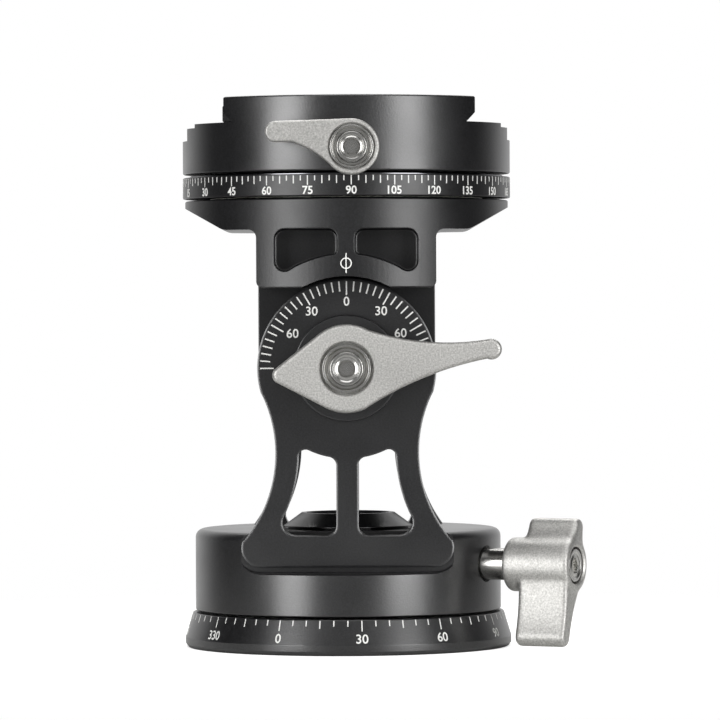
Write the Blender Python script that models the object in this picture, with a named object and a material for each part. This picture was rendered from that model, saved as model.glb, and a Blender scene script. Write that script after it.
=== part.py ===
"""Two way pan and tilt head with a panning dovetail clamp on top.

The head stands on its base plate. The drum and the two cheeks of the yoke are
one milled piece that pans on the post of the base plate. The tilt block swings
between the cheeks on one bolt, and the clamp on top pans again on the block.

The model stands on +Z with its origin on the pan axis at the bottom face. The
front of the head, with the levers and the tilt scale, looks along -Y.
"""

import math

import bmesh
import bpy
from mathutils import Matrix, Vector

# Fineness of the round forms
LARGE_SEGMENTS = 54
MEDIUM_SEGMENTS = 26
SMALL_SEGMENTS = 14
BEARING_SEGMENTS = 20
CORNER_STEPS = 3
ARC_STEPS = 8
DISC_STEPS = 26
HEX_SIDES = 6
MERGE_DISTANCE = 0.000001
SHARP_ANGLE = math.radians(30)

# Clearances between pieces
SEAT_GAP = 0.0003
RUN_GAP = 0.0001
CUT_MARGIN = 0.0015

# Angles of the head at rest
TOP_TURN = math.radians(1.9)
KNOB_TURN = math.radians(-26)

# Base plate
BASE_RIM_HEIGHT = 0.0019
BASE_TOP_HEIGHT = 0.0064
BASE_CHAMFER = 0.0003
POST_RADIUS = 0.0090
POST_NECK_RADIUS = 0.0060

# Tripod insert in the base plate
INSERT_RADIUS = 0.0064
INSERT_BORE_RADIUS = 0.00476
INSERT_LENGTH = 0.0097
INSERT_SLOT_WIDTH = 0.0012
INSERT_SLOT_DEPTH = 0.0008

# Drum of the yoke, and the base ring under it
DRUM_RADIUS = 0.0280
DRUM_HEIGHT = 0.0148
DRUM_GAP = 0.0004
DRUM_CHAMFER = 0.0003
DRUM_TOP_FILLET = 0.0015
DRUM_COUNTERBORE_RADIUS = 0.0112
DRUM_COUNTERBORE_DEPTH = 0.0037
DRUM_BOTTOM_HEIGHT = BASE_TOP_HEIGHT + DRUM_GAP
DRUM_TOP_HEIGHT = DRUM_BOTTOM_HEIGHT + DRUM_HEIGHT
DRUM_LEDGE_HEIGHT = DRUM_TOP_HEIGHT - DRUM_COUNTERBORE_DEPTH
BASE_OVERHANG = 0.0019
BASE_TOP_OVERHANG = 0.0005
BASE_RADIUS = DRUM_RADIUS + BASE_OVERHANG
BASE_TOP_RADIUS = DRUM_RADIUS + BASE_TOP_OVERHANG

# Pan bearing
THRUST_WALL = 0.0030
THRUST_MARGIN = 0.0040
THRUST_THICKNESS = 0.0012
THRUST_INNER_RADIUS = POST_RADIUS + THRUST_WALL
THRUST_OUTER_RADIUS = DRUM_RADIUS - THRUST_MARGIN
UPPER_WASHER_RADIUS = DRUM_COUNTERBORE_RADIUS - SEAT_GAP
UPPER_WASHER_THICKNESS = 0.0005
RETAINER_RADIUS = DRUM_COUNTERBORE_RADIUS - 2 * SEAT_GAP
RETAINER_THICKNESS = 0.0018
RETAINER_TOP_HEIGHT = DRUM_LEDGE_HEIGHT + 2 * SEAT_GAP + UPPER_WASHER_THICKNESS + RETAINER_THICKNESS
POST_SHOULDER_DROP = 0.0002
POST_TIP = 0.0002
POST_SHOULDER_HEIGHT = DRUM_LEDGE_HEIGHT - POST_SHOULDER_DROP
POST_TOP_HEIGHT = RETAINER_TOP_HEIGHT + POST_TIP

# Tongue of the tilt block, friction discs and cheeks, outwards from the middle
CHEEK_RADIUS = 0.0161
TONGUE_HALF_DEPTH = 0.0138
TONGUE_HALF_WIDTH = CHEEK_RADIUS - RUN_GAP
FRICTION_THICKNESS = 0.0008
FRICTION_MARGIN = 0.0005
FRICTION_OUTER_RADIUS = TONGUE_HALF_WIDTH - FRICTION_MARGIN
CHEEK_THICKNESS = 0.0061
CHEEK_CHAMFER = 0.0003
CHEEK_INNER_FACE = TONGUE_HALF_DEPTH + FRICTION_THICKNESS + 2 * SEAT_GAP
CHEEK_FACE = CHEEK_INNER_FACE + CHEEK_THICKNESS

# Flats on the drum, with a relief groove under each cheek
DRUM_FLAT_DROP = 0.00735
RELIEF_HEIGHT = 0.00115
RELIEF_DEPTH = 0.0008
DRUM_FLAT_HEIGHT = DRUM_TOP_HEIGHT - DRUM_FLAT_DROP
DRUM_FLAT_DEPTH = CHEEK_FACE - RELIEF_DEPTH

# Flank of the cheek, from the foot over the waist up to the disc
PIVOT_HEIGHT = 0.0512
FOOT_CORNER_RADIUS = 0.0035
FOOT_CORNER_WIDTH = 0.0156
FOOT_CORNER_HEIGHT = DRUM_FLAT_HEIGHT + RELIEF_HEIGHT + FOOT_CORNER_RADIUS
FOOT_CORNER_START = math.radians(20)
FLANK_FOOT_RISE = 0.0015
FLANK_TOP_DROP = 0.0043
FLANK_BOTTOM_HEIGHT = FOOT_CORNER_HEIGHT + FLANK_FOOT_RISE
FLANK_TOP_HEIGHT = PIVOT_HEIGHT - FLANK_TOP_DROP
FLANK_LENGTH = FLANK_TOP_HEIGHT - FLANK_BOTTOM_HEIGHT
WAIST_HALF_WIDTH = 0.01292
WAIST_HEIGHT_SHARE = 0.589
WAIST_RADIUS_SHARE = 0.925
WAIST_HEIGHT = FLANK_BOTTOM_HEIGHT + FLANK_LENGTH * WAIST_HEIGHT_SHARE
WAIST_RADIUS = FLANK_LENGTH * WAIST_RADIUS_SHARE

# Windows in the cheeks
RIB_HALF_WIDTH = 0.0020
WINDOW_SINK = 0.0006
LEG_WIDTH = 0.00417
WINDOW_RADIUS_SHARE = 0.981
WINDOW_INNER_CORNER = 0.0018
WINDOW_OUTER_CORNER = 0.0025
WINDOW_TOP_CORNER = 0.0010
WINDOW_RUN_OUT = 0.0012
WINDOW_BOTTOM_HEIGHT = DRUM_TOP_HEIGHT - WINDOW_SINK
WINDOW_TOP_RADIUS = TONGUE_HALF_WIDTH + SEAT_GAP
WINDOW_FLANK_HALF_WIDTH = WAIST_HALF_WIDTH - LEG_WIDTH
WINDOW_FLANK_RADIUS = FLANK_LENGTH * WINDOW_RADIUS_SHARE
WINDOW_CUT_DEPTH = CHEEK_INNER_FACE - WINDOW_RUN_OUT

# Cap over the pan bearing
CAP_FLANGE = 0.00055
CAP_SLOPE = 0.00325
CAP_RIM = 0.0008
CAP_RIM_CHAMFER = 0.0003
CAP_WALL = 0.0029
CAP_EDGE = 0.0002
CAP_HEIGHT = 0.0029
CAP_DISH_DEPTH = 0.0006
CAP_SOCKET_DEPTH = 0.0009
CAP_SOCKET_FLATS = 0.0080
CAP_ROOF = 0.0023
CAP_SPIGOT_RADIUS = DRUM_COUNTERBORE_RADIUS - SEAT_GAP
CAP_BASE_RADIUS = DRUM_COUNTERBORE_RADIUS + CAP_FLANGE
CAP_TOP_RADIUS = CAP_BASE_RADIUS - CAP_SLOPE
CAP_RIM_RADIUS = CAP_TOP_RADIUS - CAP_RIM
CAP_DISH_RADIUS = CAP_RIM_RADIUS - CAP_RIM_CHAMFER
CAP_HOLLOW_RADIUS = CAP_SPIGOT_RADIUS - CAP_WALL
CAP_SPIGOT_BOTTOM = POST_TOP_HEIGHT + RUN_GAP
CAP_TOP_HEIGHT = DRUM_TOP_HEIGHT + CAP_HEIGHT
CAP_DISH_HEIGHT = CAP_TOP_HEIGHT - CAP_DISH_DEPTH
CAP_SOCKET_HEIGHT = CAP_DISH_HEIGHT - CAP_SOCKET_DEPTH
CAP_HOLLOW_TOP = CAP_TOP_HEIGHT - CAP_ROOF

# Pan lock
LOCK_DROP = 0.0022
LOCK_SHOE_RADIUS = 0.0020
LOCK_SHOE_LENGTH = 0.0037
LOCK_COUNTERBORE_MARGIN = 0.0007
STUD_RADIUS = 0.0020
STUD_SLEEVE_RADIUS = 0.0029
STUD_SLEEVE_SINK = 0.0035
STUD_TAP_RADIUS = 0.0018
STUD_TAP_DEPTH = 0.0025
STUD_END_DEPTH = 0.0015
KNOB_STANDOFF = 0.0057
KNOB_HUB_RADIUS = 0.0049
KNOB_NECK = 0.0033
KNOB_WING_THICKNESS = 0.0083
KNOB_CHAMFER = 0.0005
KNOB_TILT = math.radians(18)
KNOB_UPPER_REACH = 0.0076
KNOB_LOWER_REACH = 0.0132
KNOB_TIP_RADIUS = 0.00175
KNOB_WAIST_WIDTH = 0.0020
KNOB_UPPER_WAIST_SHARE = 0.79
KNOB_LOWER_WAIST_SHARE = 0.64
KNOB_ROOT_ANGLE = math.radians(42)
KNOB_POCKET_RADIUS = 0.0034
KNOB_POCKET_DEPTH = 0.0028
KNOB_SCREW_MARGIN = 0.00043
KNOB_SCREW_HEAD = 0.0022
KNOB_SCREW_SHANK = 0.0032
KNOB_SCREW_FLATS = 0.0025
SCREW_SOCKET_DEPTH = 0.0010
SCREW_EDGE = 0.0003
LOCK_HEIGHT = POST_SHOULDER_HEIGHT - LOCK_DROP
LOCK_SHOE_START = POST_RADIUS + SEAT_GAP
LOCK_SHOE_END = LOCK_SHOE_START + LOCK_SHOE_LENGTH
LOCK_COUNTERBORE_RADIUS = STUD_SLEEVE_RADIUS + LOCK_COUNTERBORE_MARGIN
KNOB_HUB_START = DRUM_RADIUS + KNOB_STANDOFF
KNOB_WING_START = KNOB_HUB_START + KNOB_NECK
KNOB_END = KNOB_WING_START + KNOB_WING_THICKNESS
STUD_SLEEVE_START = DRUM_RADIUS - STUD_SLEEVE_SINK
STUD_SLEEVE_END = KNOB_HUB_START - SEAT_GAP
STUD_END = KNOB_END - KNOB_POCKET_DEPTH - STUD_END_DEPTH
KNOB_SCREW_RADIUS = KNOB_POCKET_RADIUS - KNOB_SCREW_MARGIN
KNOB_SCREW_SHANK_RADIUS = STUD_TAP_RADIUS - SEAT_GAP

# Tilt lock on the front of the bolt
BOLT_RADIUS = 0.0040
BOLT_HEAD_RADIUS = 0.0085
BOLT_HEAD_THICKNESS = 0.0025
BOLT_HEAD_CHAMFER = 0.0005
BOLT_SOCKET_FLATS = 0.0050
BOLT_SOCKET_DEPTH = 0.0016
BOLT_CLEARANCE = 0.0006
BUSH_WALL = 0.0016
TILT_BUSH_RADIUS = BOLT_RADIUS + RUN_GAP + BUSH_WALL
FRICTION_BORE_MARGIN = 0.0009
FRICTION_INNER_RADIUS = TILT_BUSH_RADIUS + FRICTION_BORE_MARGIN
BOSS_RADIUS = 0.00955
BOSS_THICKNESS = 0.0015
BOSS_CHAMFER = 0.0003
LEVER_THICKNESS = 0.0040
LEVER_CHAMFER = 0.0008
LEVER_HUB_RADIUS = 0.0079
LEVER_COLLAR_RADIUS = 0.0074
LEVER_COLLAR_LENGTH = 0.0039
LEVER_ARM_TIP = (0.02575, 0.00335)
LEVER_ARM_TIP_RADIUS = 0.00185
LEVER_ARM_TOP_ANGLE = math.radians(94)
LEVER_ARM_BOTTOM_ANGLE = math.radians(-114)
LEVER_ARM_TOP_MIDDLE = (0.0147, 0.0047)
LEVER_ARM_BOTTOM_MIDDLE = (0.0147, -0.0013)
LEVER_HUB_TOP_ANGLE = math.radians(61)
LEVER_HUB_BOTTOM_ANGLE = math.radians(-65.7)
LEVER_TAIL_TIP = (-0.0117, -0.0011)
LEVER_TAIL_TIP_RADIUS = 0.0015
LEVER_RECESS_RADIUS = 0.0048
LEVER_RECESS_DEPTH = 0.0012
LEVER_WEB = 0.0008
LEVER_NUT_RADIUS = 0.0052
LEVER_NUT_SINK = 0.0002
LEVER_NUT_FLOOR = 0.0018
LEVER_WASHER_MARGIN = 0.00011
LEVER_WASHER_THICKNESS = 0.0008
LEVER_WASHER_RIM = 0.0004
LEVER_SCREW_RADIUS = 0.00295
LEVER_SCREW_HEAD = 0.0015
LEVER_SCREW_SHANK_RADIUS = 0.0015
LEVER_SCREW_FLATS = 0.0025
LEVER_COLLAR_START = CHEEK_FACE + BOSS_THICKNESS + 2 * SEAT_GAP
LEVER_BACK = LEVER_COLLAR_START + LEVER_COLLAR_LENGTH
LEVER_FACE = LEVER_BACK + LEVER_THICKNESS
LEVER_RECESS_FACE = LEVER_FACE - LEVER_RECESS_DEPTH
LEVER_NUT_START = LEVER_COLLAR_START + LEVER_NUT_SINK
LEVER_NUT_END = LEVER_RECESS_FACE - LEVER_WEB - SEAT_GAP
LEVER_NUT_BORE_END = LEVER_NUT_END - LEVER_NUT_FLOOR
LEVER_SCREW_SHANK = LEVER_WEB + LEVER_NUT_FLOOR + SEAT_GAP
LEVER_WASHER_INNER_RADIUS = LEVER_SCREW_RADIUS + LEVER_WASHER_MARGIN
LEVER_WASHER_RADIUS = LEVER_RECESS_RADIUS - SEAT_GAP
BOLT_FRONT = LEVER_NUT_BORE_END - BOLT_CLEARANCE

# Heights of the block, the dial ring and the clamp, from the pivot up
NOTCH_GAP = 0.0004
BLOCK_BOTTOM_RISE = 0.0144
BLOCK_SIDE_HEIGHT = 0.0105
BLOCK_RIM_HEIGHT = 0.0007
CONE_HEIGHT = 0.0047
CONE_EDGE_HEIGHT = 0.00008
DIAL_GAP = 0.0004
DIAL_THICKNESS = 0.00387
CLAMP_GAP = 0.0006
CLAMP_FLOOR_THICKNESS = 0.00895
JAW_HEIGHT = 0.0046
BLOCK_NOTCH_RADIUS = CHEEK_RADIUS + NOTCH_GAP
BLOCK_BOTTOM_HEIGHT = PIVOT_HEIGHT + BLOCK_BOTTOM_RISE
BLOCK_SHOULDER_HEIGHT = BLOCK_BOTTOM_HEIGHT + BLOCK_SIDE_HEIGHT
CONE_START_HEIGHT = BLOCK_SHOULDER_HEIGHT + BLOCK_RIM_HEIGHT
CONE_END_HEIGHT = CONE_START_HEIGHT + CONE_HEIGHT
BLOCK_TOP_HEIGHT = CONE_END_HEIGHT + CONE_EDGE_HEIGHT
DIAL_BOTTOM_HEIGHT = BLOCK_TOP_HEIGHT + DIAL_GAP
DIAL_TOP_HEIGHT = DIAL_BOTTOM_HEIGHT + DIAL_THICKNESS
CLAMP_BOTTOM_HEIGHT = DIAL_TOP_HEIGHT + CLAMP_GAP
CLAMP_FLOOR_HEIGHT = CLAMP_BOTTOM_HEIGHT + CLAMP_FLOOR_THICKNESS
CLAMP_TOP_HEIGHT = CLAMP_FLOOR_HEIGHT + JAW_HEIGHT

# Tilt block
CLAMP_RADIUS = 0.0300
CONE_INSET = 0.0004
CONE_EDGE = 0.0002
CONE_RADIUS = CLAMP_RADIUS - CONE_INSET
BLOCK_RADIUS = 0.0222
BLOCK_HALF_WIDTH = CHEEK_RADIUS
BLOCK_EDGE_CHAMFER = 0.0003
BLOCK_CORNER_RADIUS = 0.0012
BLOCK_SHOULDER_FILLET = 0.0015
TONGUE_ROOT = 0.0023
TONGUE_TOP_HEIGHT = PIVOT_HEIGHT + BLOCK_NOTCH_RADIUS + TONGUE_ROOT
SPINDLE_RADIUS = 0.0120
SPINDLE_LENGTH = 0.00798
SPINDLE_BOTTOM_HEIGHT = DIAL_BOTTOM_HEIGHT - SPINDLE_LENGTH
SPINDLE_BORE_BOTTOM = SPINDLE_BOTTOM_HEIGHT - SEAT_GAP
CENTRE_SCREW_RADIUS = 0.0040
CENTRE_TAP_RADIUS = CENTRE_SCREW_RADIUS + SEAT_GAP
CENTRE_TAP_DEPTH = 0.0027
CENTRE_TAP_FLOOR = 0.0010
CENTRE_TAP_BOTTOM = SPINDLE_BORE_BOTTOM - CENTRE_TAP_DEPTH
POCKET_INNER = 0.0016
POCKET_WALL = 0.00315
POCKET_LAND = 0.0006
POCKET_RIM = 0.0039
POCKET_CORNER = 0.0020
POCKET_FLOOR_WALL = 0.0025
POCKET_OUTER = BLOCK_HALF_WIDTH - POCKET_WALL
POCKET_TOP_HEIGHT = CONE_START_HEIGHT - POCKET_LAND
POCKET_ARC_RADIUS = BLOCK_NOTCH_RADIUS + POCKET_RIM
POCKET_FLOOR = SPINDLE_RADIUS + POCKET_FLOOR_WALL

# Dial ring and its bearing
DIAL_RADIUS = CLAMP_RADIUS
DIAL_CHAMFER = 0.0003
BEARING_WALL = 0.0030
BEARING_MARGIN = 0.0050
BEARING_THICKNESS = 0.0010
BEARING_INNER_RADIUS = SPINDLE_RADIUS + BEARING_WALL
BEARING_OUTER_RADIUS = DIAL_RADIUS - BEARING_MARGIN
SHIM_MARGIN = 0.0013
SHIM_WIDTH = 0.0047
SHIM_THICKNESS = 0.0008
SHIM_OUTER_RADIUS = DIAL_RADIUS - SHIM_MARGIN
SHIM_INNER_RADIUS = SHIM_OUTER_RADIUS - SHIM_WIDTH
SHIM_TOP_HEIGHT = CLAMP_BOTTOM_HEIGHT - SEAT_GAP
CENTRE_RECESS_RADIUS = 0.0080
CENTRE_RECESS_DEPTH = 0.00235
CENTRE_WASHER_MARGIN = 0.0005
CENTRE_WASHER_THICKNESS = 0.0005
CENTRE_HEAD_MARGIN = 0.0015
CENTRE_SCREW_HEAD = 0.0025
CENTRE_SCREW_FLATS = 0.0050
CENTRE_RECESS_HEIGHT = DIAL_TOP_HEIGHT - CENTRE_RECESS_DEPTH
CENTRE_WASHER_RADIUS = CENTRE_RECESS_RADIUS - CENTRE_WASHER_MARGIN
CENTRE_SCREW_HEAD_RADIUS = CENTRE_RECESS_RADIUS - CENTRE_HEAD_MARGIN
CENTRE_SCREW_SEAT = CENTRE_RECESS_HEIGHT + CENTRE_WASHER_THICKNESS + 2 * SEAT_GAP
CENTRE_SCREW_BOTTOM = CENTRE_TAP_BOTTOM + CENTRE_TAP_FLOOR

# Lock of the upper pan
TOP_LOCK_RISE = 0.0036
TOP_SHOE_RADIUS = 0.0015
TOP_SHOE_LENGTH = 0.0026
TOP_SCREW_RADIUS = 0.0015
TOP_SCREW_COLLAR_RADIUS = 0.0024
TOP_SCREW_COLLAR = 0.0015
TOP_SCREW_HEAD_RADIUS = 0.00375
TOP_SCREW_HEAD = 0.0055
TOP_SCREW_STANDOFF = 0.0005
TOP_SCREW_CHAMFER = 0.0005
TOP_LOCK_HEIGHT = SPINDLE_BOTTOM_HEIGHT + TOP_LOCK_RISE
TOP_SHOE_START = SPINDLE_RADIUS + SEAT_GAP
TOP_SHOE_END = TOP_SHOE_START + TOP_SHOE_LENGTH
TOP_SCREW_HEAD_START = CLAMP_RADIUS + TOP_SCREW_STANDOFF
TOP_SCREW_COLLAR_START = TOP_SCREW_HEAD_START - TOP_SCREW_COLLAR
TOP_SCREW_HEAD_END = TOP_SCREW_HEAD_START + TOP_SCREW_HEAD

# Dovetail clamp
CLAMP_CHAMFER = 0.0003
CLAMP_POCKET_HEIGHT = CENTRE_SCREW_SEAT + CENTRE_SCREW_HEAD + SEAT_GAP
LIP_DEPTH = 0.0197
LIP_LENGTH = 0.0029
UNDERCUT = 0.0017
CHANNEL_RECESS = 0.0007
CHANNEL_RECESS_DEPTH = 0.0113
JAW_TRAVEL = 0.0045
JAW_FACE_MARGIN = 0.0003
END_NOTCH_INSET = 0.0009
END_NOTCH_DROP = 0.0022
END_NOTCH_HALF_WIDTH = 0.0070
LIP_HEIGHT = CLAMP_TOP_HEIGHT - LIP_LENGTH
UNDERCUT_DEPTH = LIP_DEPTH + UNDERCUT
CHANNEL_RECESS_HEIGHT = CLAMP_FLOOR_HEIGHT - CHANNEL_RECESS
JAW_FRONT_FACE = LIP_DEPTH + JAW_FACE_MARGIN
BODY_REAR_FACE = JAW_FRONT_FACE - JAW_TRAVEL - SEAT_GAP
END_NOTCH_START = CLAMP_RADIUS - END_NOTCH_INSET
END_NOTCH_HEIGHT = CHANNEL_RECESS_HEIGHT - END_NOTCH_DROP

# Rod, nut and guide pins of the sliding jaw
ROD_RISE = 0.00415
ROD_RADIUS = 0.0020
ROD_TAP_MARGIN = 0.0003
ROD_TAP_DEPTH = 0.0025
ROD_OVERRUN = 0.0007
JAW_NUT_FLATS = 0.0060
JAW_NUT_THICKNESS = 0.0030
PIN_RADIUS = 0.0015
PIN_OFFSET = 0.0160
PIN_SEAT = 0.0029
PIN_REACH = 0.0082
ROD_HEIGHT = CLAMP_BOTTOM_HEIGHT + ROD_RISE
JAW_NUT_START = JAW_FRONT_FACE + SEAT_GAP
JAW_NUT_END = JAW_NUT_START + JAW_NUT_THICKNESS
JAW_NUT_POCKET_RADIUS = JAW_NUT_FLATS / math.sqrt(3) + SEAT_GAP
ROD_REAR = JAW_NUT_END + ROD_OVERRUN
ROD_HOLE_END = ROD_REAR + JAW_TRAVEL + SEAT_GAP
PIN_REAR = JAW_FRONT_FACE + PIN_SEAT
PIN_FRONT = BODY_REAR_FACE - PIN_REACH
PIN_HOLE_FRONT = PIN_FRONT - JAW_TRAVEL - SEAT_GAP
PIN_HOLE_REAR = PIN_REAR + SEAT_GAP

# Screws that hold the clamp body on the dial ring
FIXING_OFFSET = 0.0105
FIXING_HEAD_RADIUS = 0.00275
FIXING_HEAD = 0.0029
FIXING_RADIUS = 0.0015
FIXING_TIP_DEPTH = 0.00295
FIXING_FLATS = 0.0025
FIXING_HEAD_TOP = CHANNEL_RECESS_HEIGHT - SEAT_GAP
FIXING_HEAD_BOTTOM = FIXING_HEAD_TOP - FIXING_HEAD
FIXING_BOTTOM = DIAL_TOP_HEIGHT - FIXING_TIP_DEPTH

# Clamp lever
CLAMP_LEVER_THICKNESS = 0.0030
CLAMP_LEVER_CHAMFER = 0.0004
CLAMP_HUB_RADIUS = 0.00496
CLAMP_TIP = (-0.0135, 0.0027)
CLAMP_TIP_RADIUS = 0.00184
CLAMP_WAIST_START = (-0.0106, 0.0009)
CLAMP_WAIST_MIDDLE = (-0.0076, -0.0004)
CLAMP_HUB_TOP_ANGLE = math.radians(92)
CLAMP_HUB_BOTTOM_ANGLE = math.radians(219)
CLAMP_RECESS_RADIUS = 0.00418
CLAMP_RECESS_DEPTH = 0.0013
CLAMP_WEB = 0.0005
CLAMP_WASHER_MARGIN = 0.00016
CLAMP_SCREW_RADIUS = 0.00268
CLAMP_SCREW_HEAD = 0.0014
CLAMP_SCREW_GRIP = 0.0022
CLAMP_SCREW_FLATS = 0.0025
CLAMP_LEVER_BACK = CLAMP_RADIUS + SEAT_GAP
CLAMP_LEVER_FACE = CLAMP_LEVER_BACK + CLAMP_LEVER_THICKNESS
CLAMP_RECESS_FACE = CLAMP_LEVER_FACE - CLAMP_RECESS_DEPTH
CLAMP_WASHER_INNER_RADIUS = CLAMP_SCREW_RADIUS + CLAMP_WASHER_MARGIN
CLAMP_WASHER_RADIUS = CLAMP_RECESS_RADIUS - SEAT_GAP
ROD_FRONT = CLAMP_RECESS_FACE - CLAMP_WEB - SEAT_GAP
ROD_TAP_RADIUS = ROD_RADIUS / 2 + ROD_TAP_MARGIN
CLAMP_SCREW_SHANK_RADIUS = ROD_TAP_RADIUS - SEAT_GAP
CLAMP_SCREW_SHANK = CLAMP_WEB + 2 * SEAT_GAP + CLAMP_SCREW_GRIP

# Colours, roughness and metallic value of each material
BLACK_ANODISED = ((0.030, 0.030, 0.032, 1.0), 0.42, 0.6)
SILVER_ANODISED = ((0.56, 0.56, 0.55, 1.0), 0.38, 1.0)
POLISHED_STEEL = ((0.62, 0.61, 0.60, 1.0), 0.22, 1.0)
DARK_STEEL = ((0.10, 0.10, 0.11, 1.0), 0.35, 1.0)
BRONZE = ((0.48, 0.33, 0.16, 1.0), 0.40, 1.0)
BRASS = ((0.70, 0.52, 0.22, 1.0), 0.35, 1.0)
SLIDE_POLYMER = ((0.70, 0.69, 0.64, 1.0), 0.55, 0.0)
FRICTION_FIBRE = ((0.16, 0.12, 0.09, 1.0), 0.80, 0.0)


def clear_scene():
    """Remove every object of the scene."""
    for thing in list(bpy.data.objects):
        bpy.data.objects.remove(thing, do_unlink=True)


def make_material(name, look):
    """Make one Principled material from a colour, roughness and metallic value."""
    colour, roughness, metallic = look
    material = bpy.data.materials.new(name)
    material.use_nodes = True
    shader = material.node_tree.nodes["Principled BSDF"]
    shader.inputs["Base Color"].default_value = colour
    shader.inputs["Roughness"].default_value = roughness
    shader.inputs["Metallic"].default_value = metallic
    material.diffuse_color = colour
    return material


# Frames that carry the pieces

def height_of(frame):
    """Height of a frame over the bottom face, summed up its parents."""
    height = 0
    while frame is not None:
        height += frame.location.z
        frame = frame.parent
    return height


def make_frame(name, height, turn=0, parent=None):
    """Add an empty on the pan axis, turned about it."""
    frame = bpy.data.objects.new(name, None)
    bpy.context.collection.objects.link(frame)
    frame.parent = parent
    frame.location = (0, 0, height - height_of(parent))
    frame.rotation_euler = (0, 0, turn)
    return frame


def finish(name, bm, look, frame):
    """Turn a bmesh into an object that is carried by a frame."""
    bmesh.ops.remove_doubles(bm, verts=bm.verts, dist=MERGE_DISTANCE)
    bmesh.ops.recalc_face_normals(bm, faces=bm.faces)
    bmesh.ops.translate(bm, verts=bm.verts, vec=(0, 0, -height_of(frame)))
    mesh = bpy.data.meshes.new(name)
    bm.to_mesh(mesh)
    bm.free()
    mesh.shade_smooth()
    mesh.set_sharp_from_angle(angle=SHARP_ANGLE)
    piece = bpy.data.objects.new(name, mesh)
    bpy.context.collection.objects.link(piece)
    piece.parent = frame
    if look is not None:
        mesh.materials.append(make_material(name, look))
    return piece


def combine(piece, tool, operation):
    """Cut or join a piece with a tool that isn't part of the head."""
    tool.hide_render = True
    tool.display_type = "WIRE"
    modifier = piece.modifiers.new(tool.name, "BOOLEAN")
    modifier.operation = operation
    modifier.solver = "EXACT"
    modifier.object = tool


def cut(piece, tool):
    """Cut a tool out of a piece."""
    combine(piece, tool, "DIFFERENCE")


def join(piece, tool):
    """Join a tool to a piece."""
    combine(piece, tool, "UNION")


# Plane curves

def polar(centre, radius, angle):
    """Point on a circle."""
    return (centre[0] + radius * math.cos(angle), centre[1] + radius * math.sin(angle))


def arc(centre, radius, start, end, steps=ARC_STEPS):
    """Points of an arc from one angle to another, both included."""
    return [polar(centre, radius, start + (end - start) * i / steps) for i in range(steps + 1)]


def arc_through(first, middle, last, steps=ARC_STEPS):
    """Points of the arc that runs from one point through a second to a third."""
    a, b, c = Vector(first), Vector(middle), Vector(last)
    twice_area = 2 * (a.x * (b.y - c.y) + b.x * (c.y - a.y) + c.x * (a.y - b.y))
    sizes = (a.length_squared, b.length_squared, c.length_squared)
    centre = Vector((
        (sizes[0] * (b.y - c.y) + sizes[1] * (c.y - a.y) + sizes[2] * (a.y - b.y)) / twice_area,
        (sizes[0] * (c.x - b.x) + sizes[1] * (a.x - c.x) + sizes[2] * (b.x - a.x)) / twice_area,
    ))
    start = math.atan2(a.y - centre.y, a.x - centre.x)
    sweep = math.remainder(math.atan2(c.y - centre.y, c.x - centre.x) - start, math.tau)
    return arc(centre, (a - centre).length, start, start + sweep, steps)


def round_corner(before, corner, after, radius, steps=CORNER_STEPS):
    """Points of the fillet between the two edges that meet in a corner."""
    corner = Vector(corner)
    back = (Vector(before) - corner).normalized()
    ahead = (Vector(after) - corner).normalized()
    half = math.acos(back.dot(ahead)) / 2
    reach = radius / math.tan(half)
    centre = corner + (back + ahead).normalized() * (radius / math.sin(half))
    start = corner + back * reach - centre
    end = corner + ahead * reach - centre
    first = math.atan2(start.y, start.x)
    sweep = math.remainder(math.atan2(end.y, end.x) - first, math.tau)
    return arc(centre, radius, first, first + sweep, steps)


def mirrored(points):
    """The same curve on the other side of the upright axis, run backwards."""
    return [(-u, v) for u, v in reversed(points)]


def hexagon(flats):
    """Outline of a hexagon by its width over flats."""
    corner = flats / 2 / math.cos(math.pi / HEX_SIDES)
    return [polar((0, 0), corner, math.tau * i / HEX_SIDES) for i in range(HEX_SIDES)]


# Directions in which flat outlines are extruded

def to_front(u, v, w):
    """Outline seen from the front, u to the right and v up, w metres to the front."""
    return Vector((u, -w, v))


def to_right(u, v, w):
    """Outline seen from the right, u to the back and v up, w metres to the right."""
    return Vector((w, u, v))


def to_top(u, v, w):
    """Outline seen from above, w metres up."""
    return Vector((u, v, w))


def shifted(direction, centre):
    """A direction whose outlines are drawn about another centre."""
    return lambda u, v, w: direction(u + centre[0], v + centre[1], w)


# Solids

def add_prism(bm, outline, start, end, direction, chamfer=0):
    """Extrude an outline, with a chamfered edge at its far end."""
    near = bm.faces.new([bm.verts.new(direction(u, v, start)) for u, v in outline])
    grown = bmesh.ops.extrude_face_region(bm, geom=[near])["geom"]
    corners = [item for item in grown if isinstance(item, bmesh.types.BMVert)]
    cap = [item for item in grown if isinstance(item, bmesh.types.BMFace)]
    edge = math.copysign(chamfer, end - start)
    bmesh.ops.translate(bm, verts=corners, vec=direction(0, 0, end - edge) - direction(0, 0, start))
    if chamfer:
        bmesh.ops.inset_region(bm, faces=cap, thickness=chamfer, use_even_offset=True)
        bmesh.ops.translate(bm, verts=cap[0].verts, vec=direction(0, 0, edge) - direction(0, 0, 0))


def add_turned(bm, profile, segments, direction, centre=(0, 0)):
    """Turn a closed profile of (radius, distance) points about a direction."""
    axis = direction(0, 0, 1) - direction(0, 0, 0)
    pole = direction(centre[0], centre[1], 0)
    points = [bm.verts.new(direction(centre[0] + radius, centre[1], along)) for radius, along in profile]
    edges = []
    for i, (radius, _) in enumerate(profile):
        following = (i + 1) % len(profile)
        if radius or profile[following][0]:
            edges.append(bm.edges.new((points[i], points[following])))
    bmesh.ops.spin(
        bm, geom=points + edges, cent=pole, axis=axis, angle=math.tau, steps=segments, use_merge=True
    )


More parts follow.
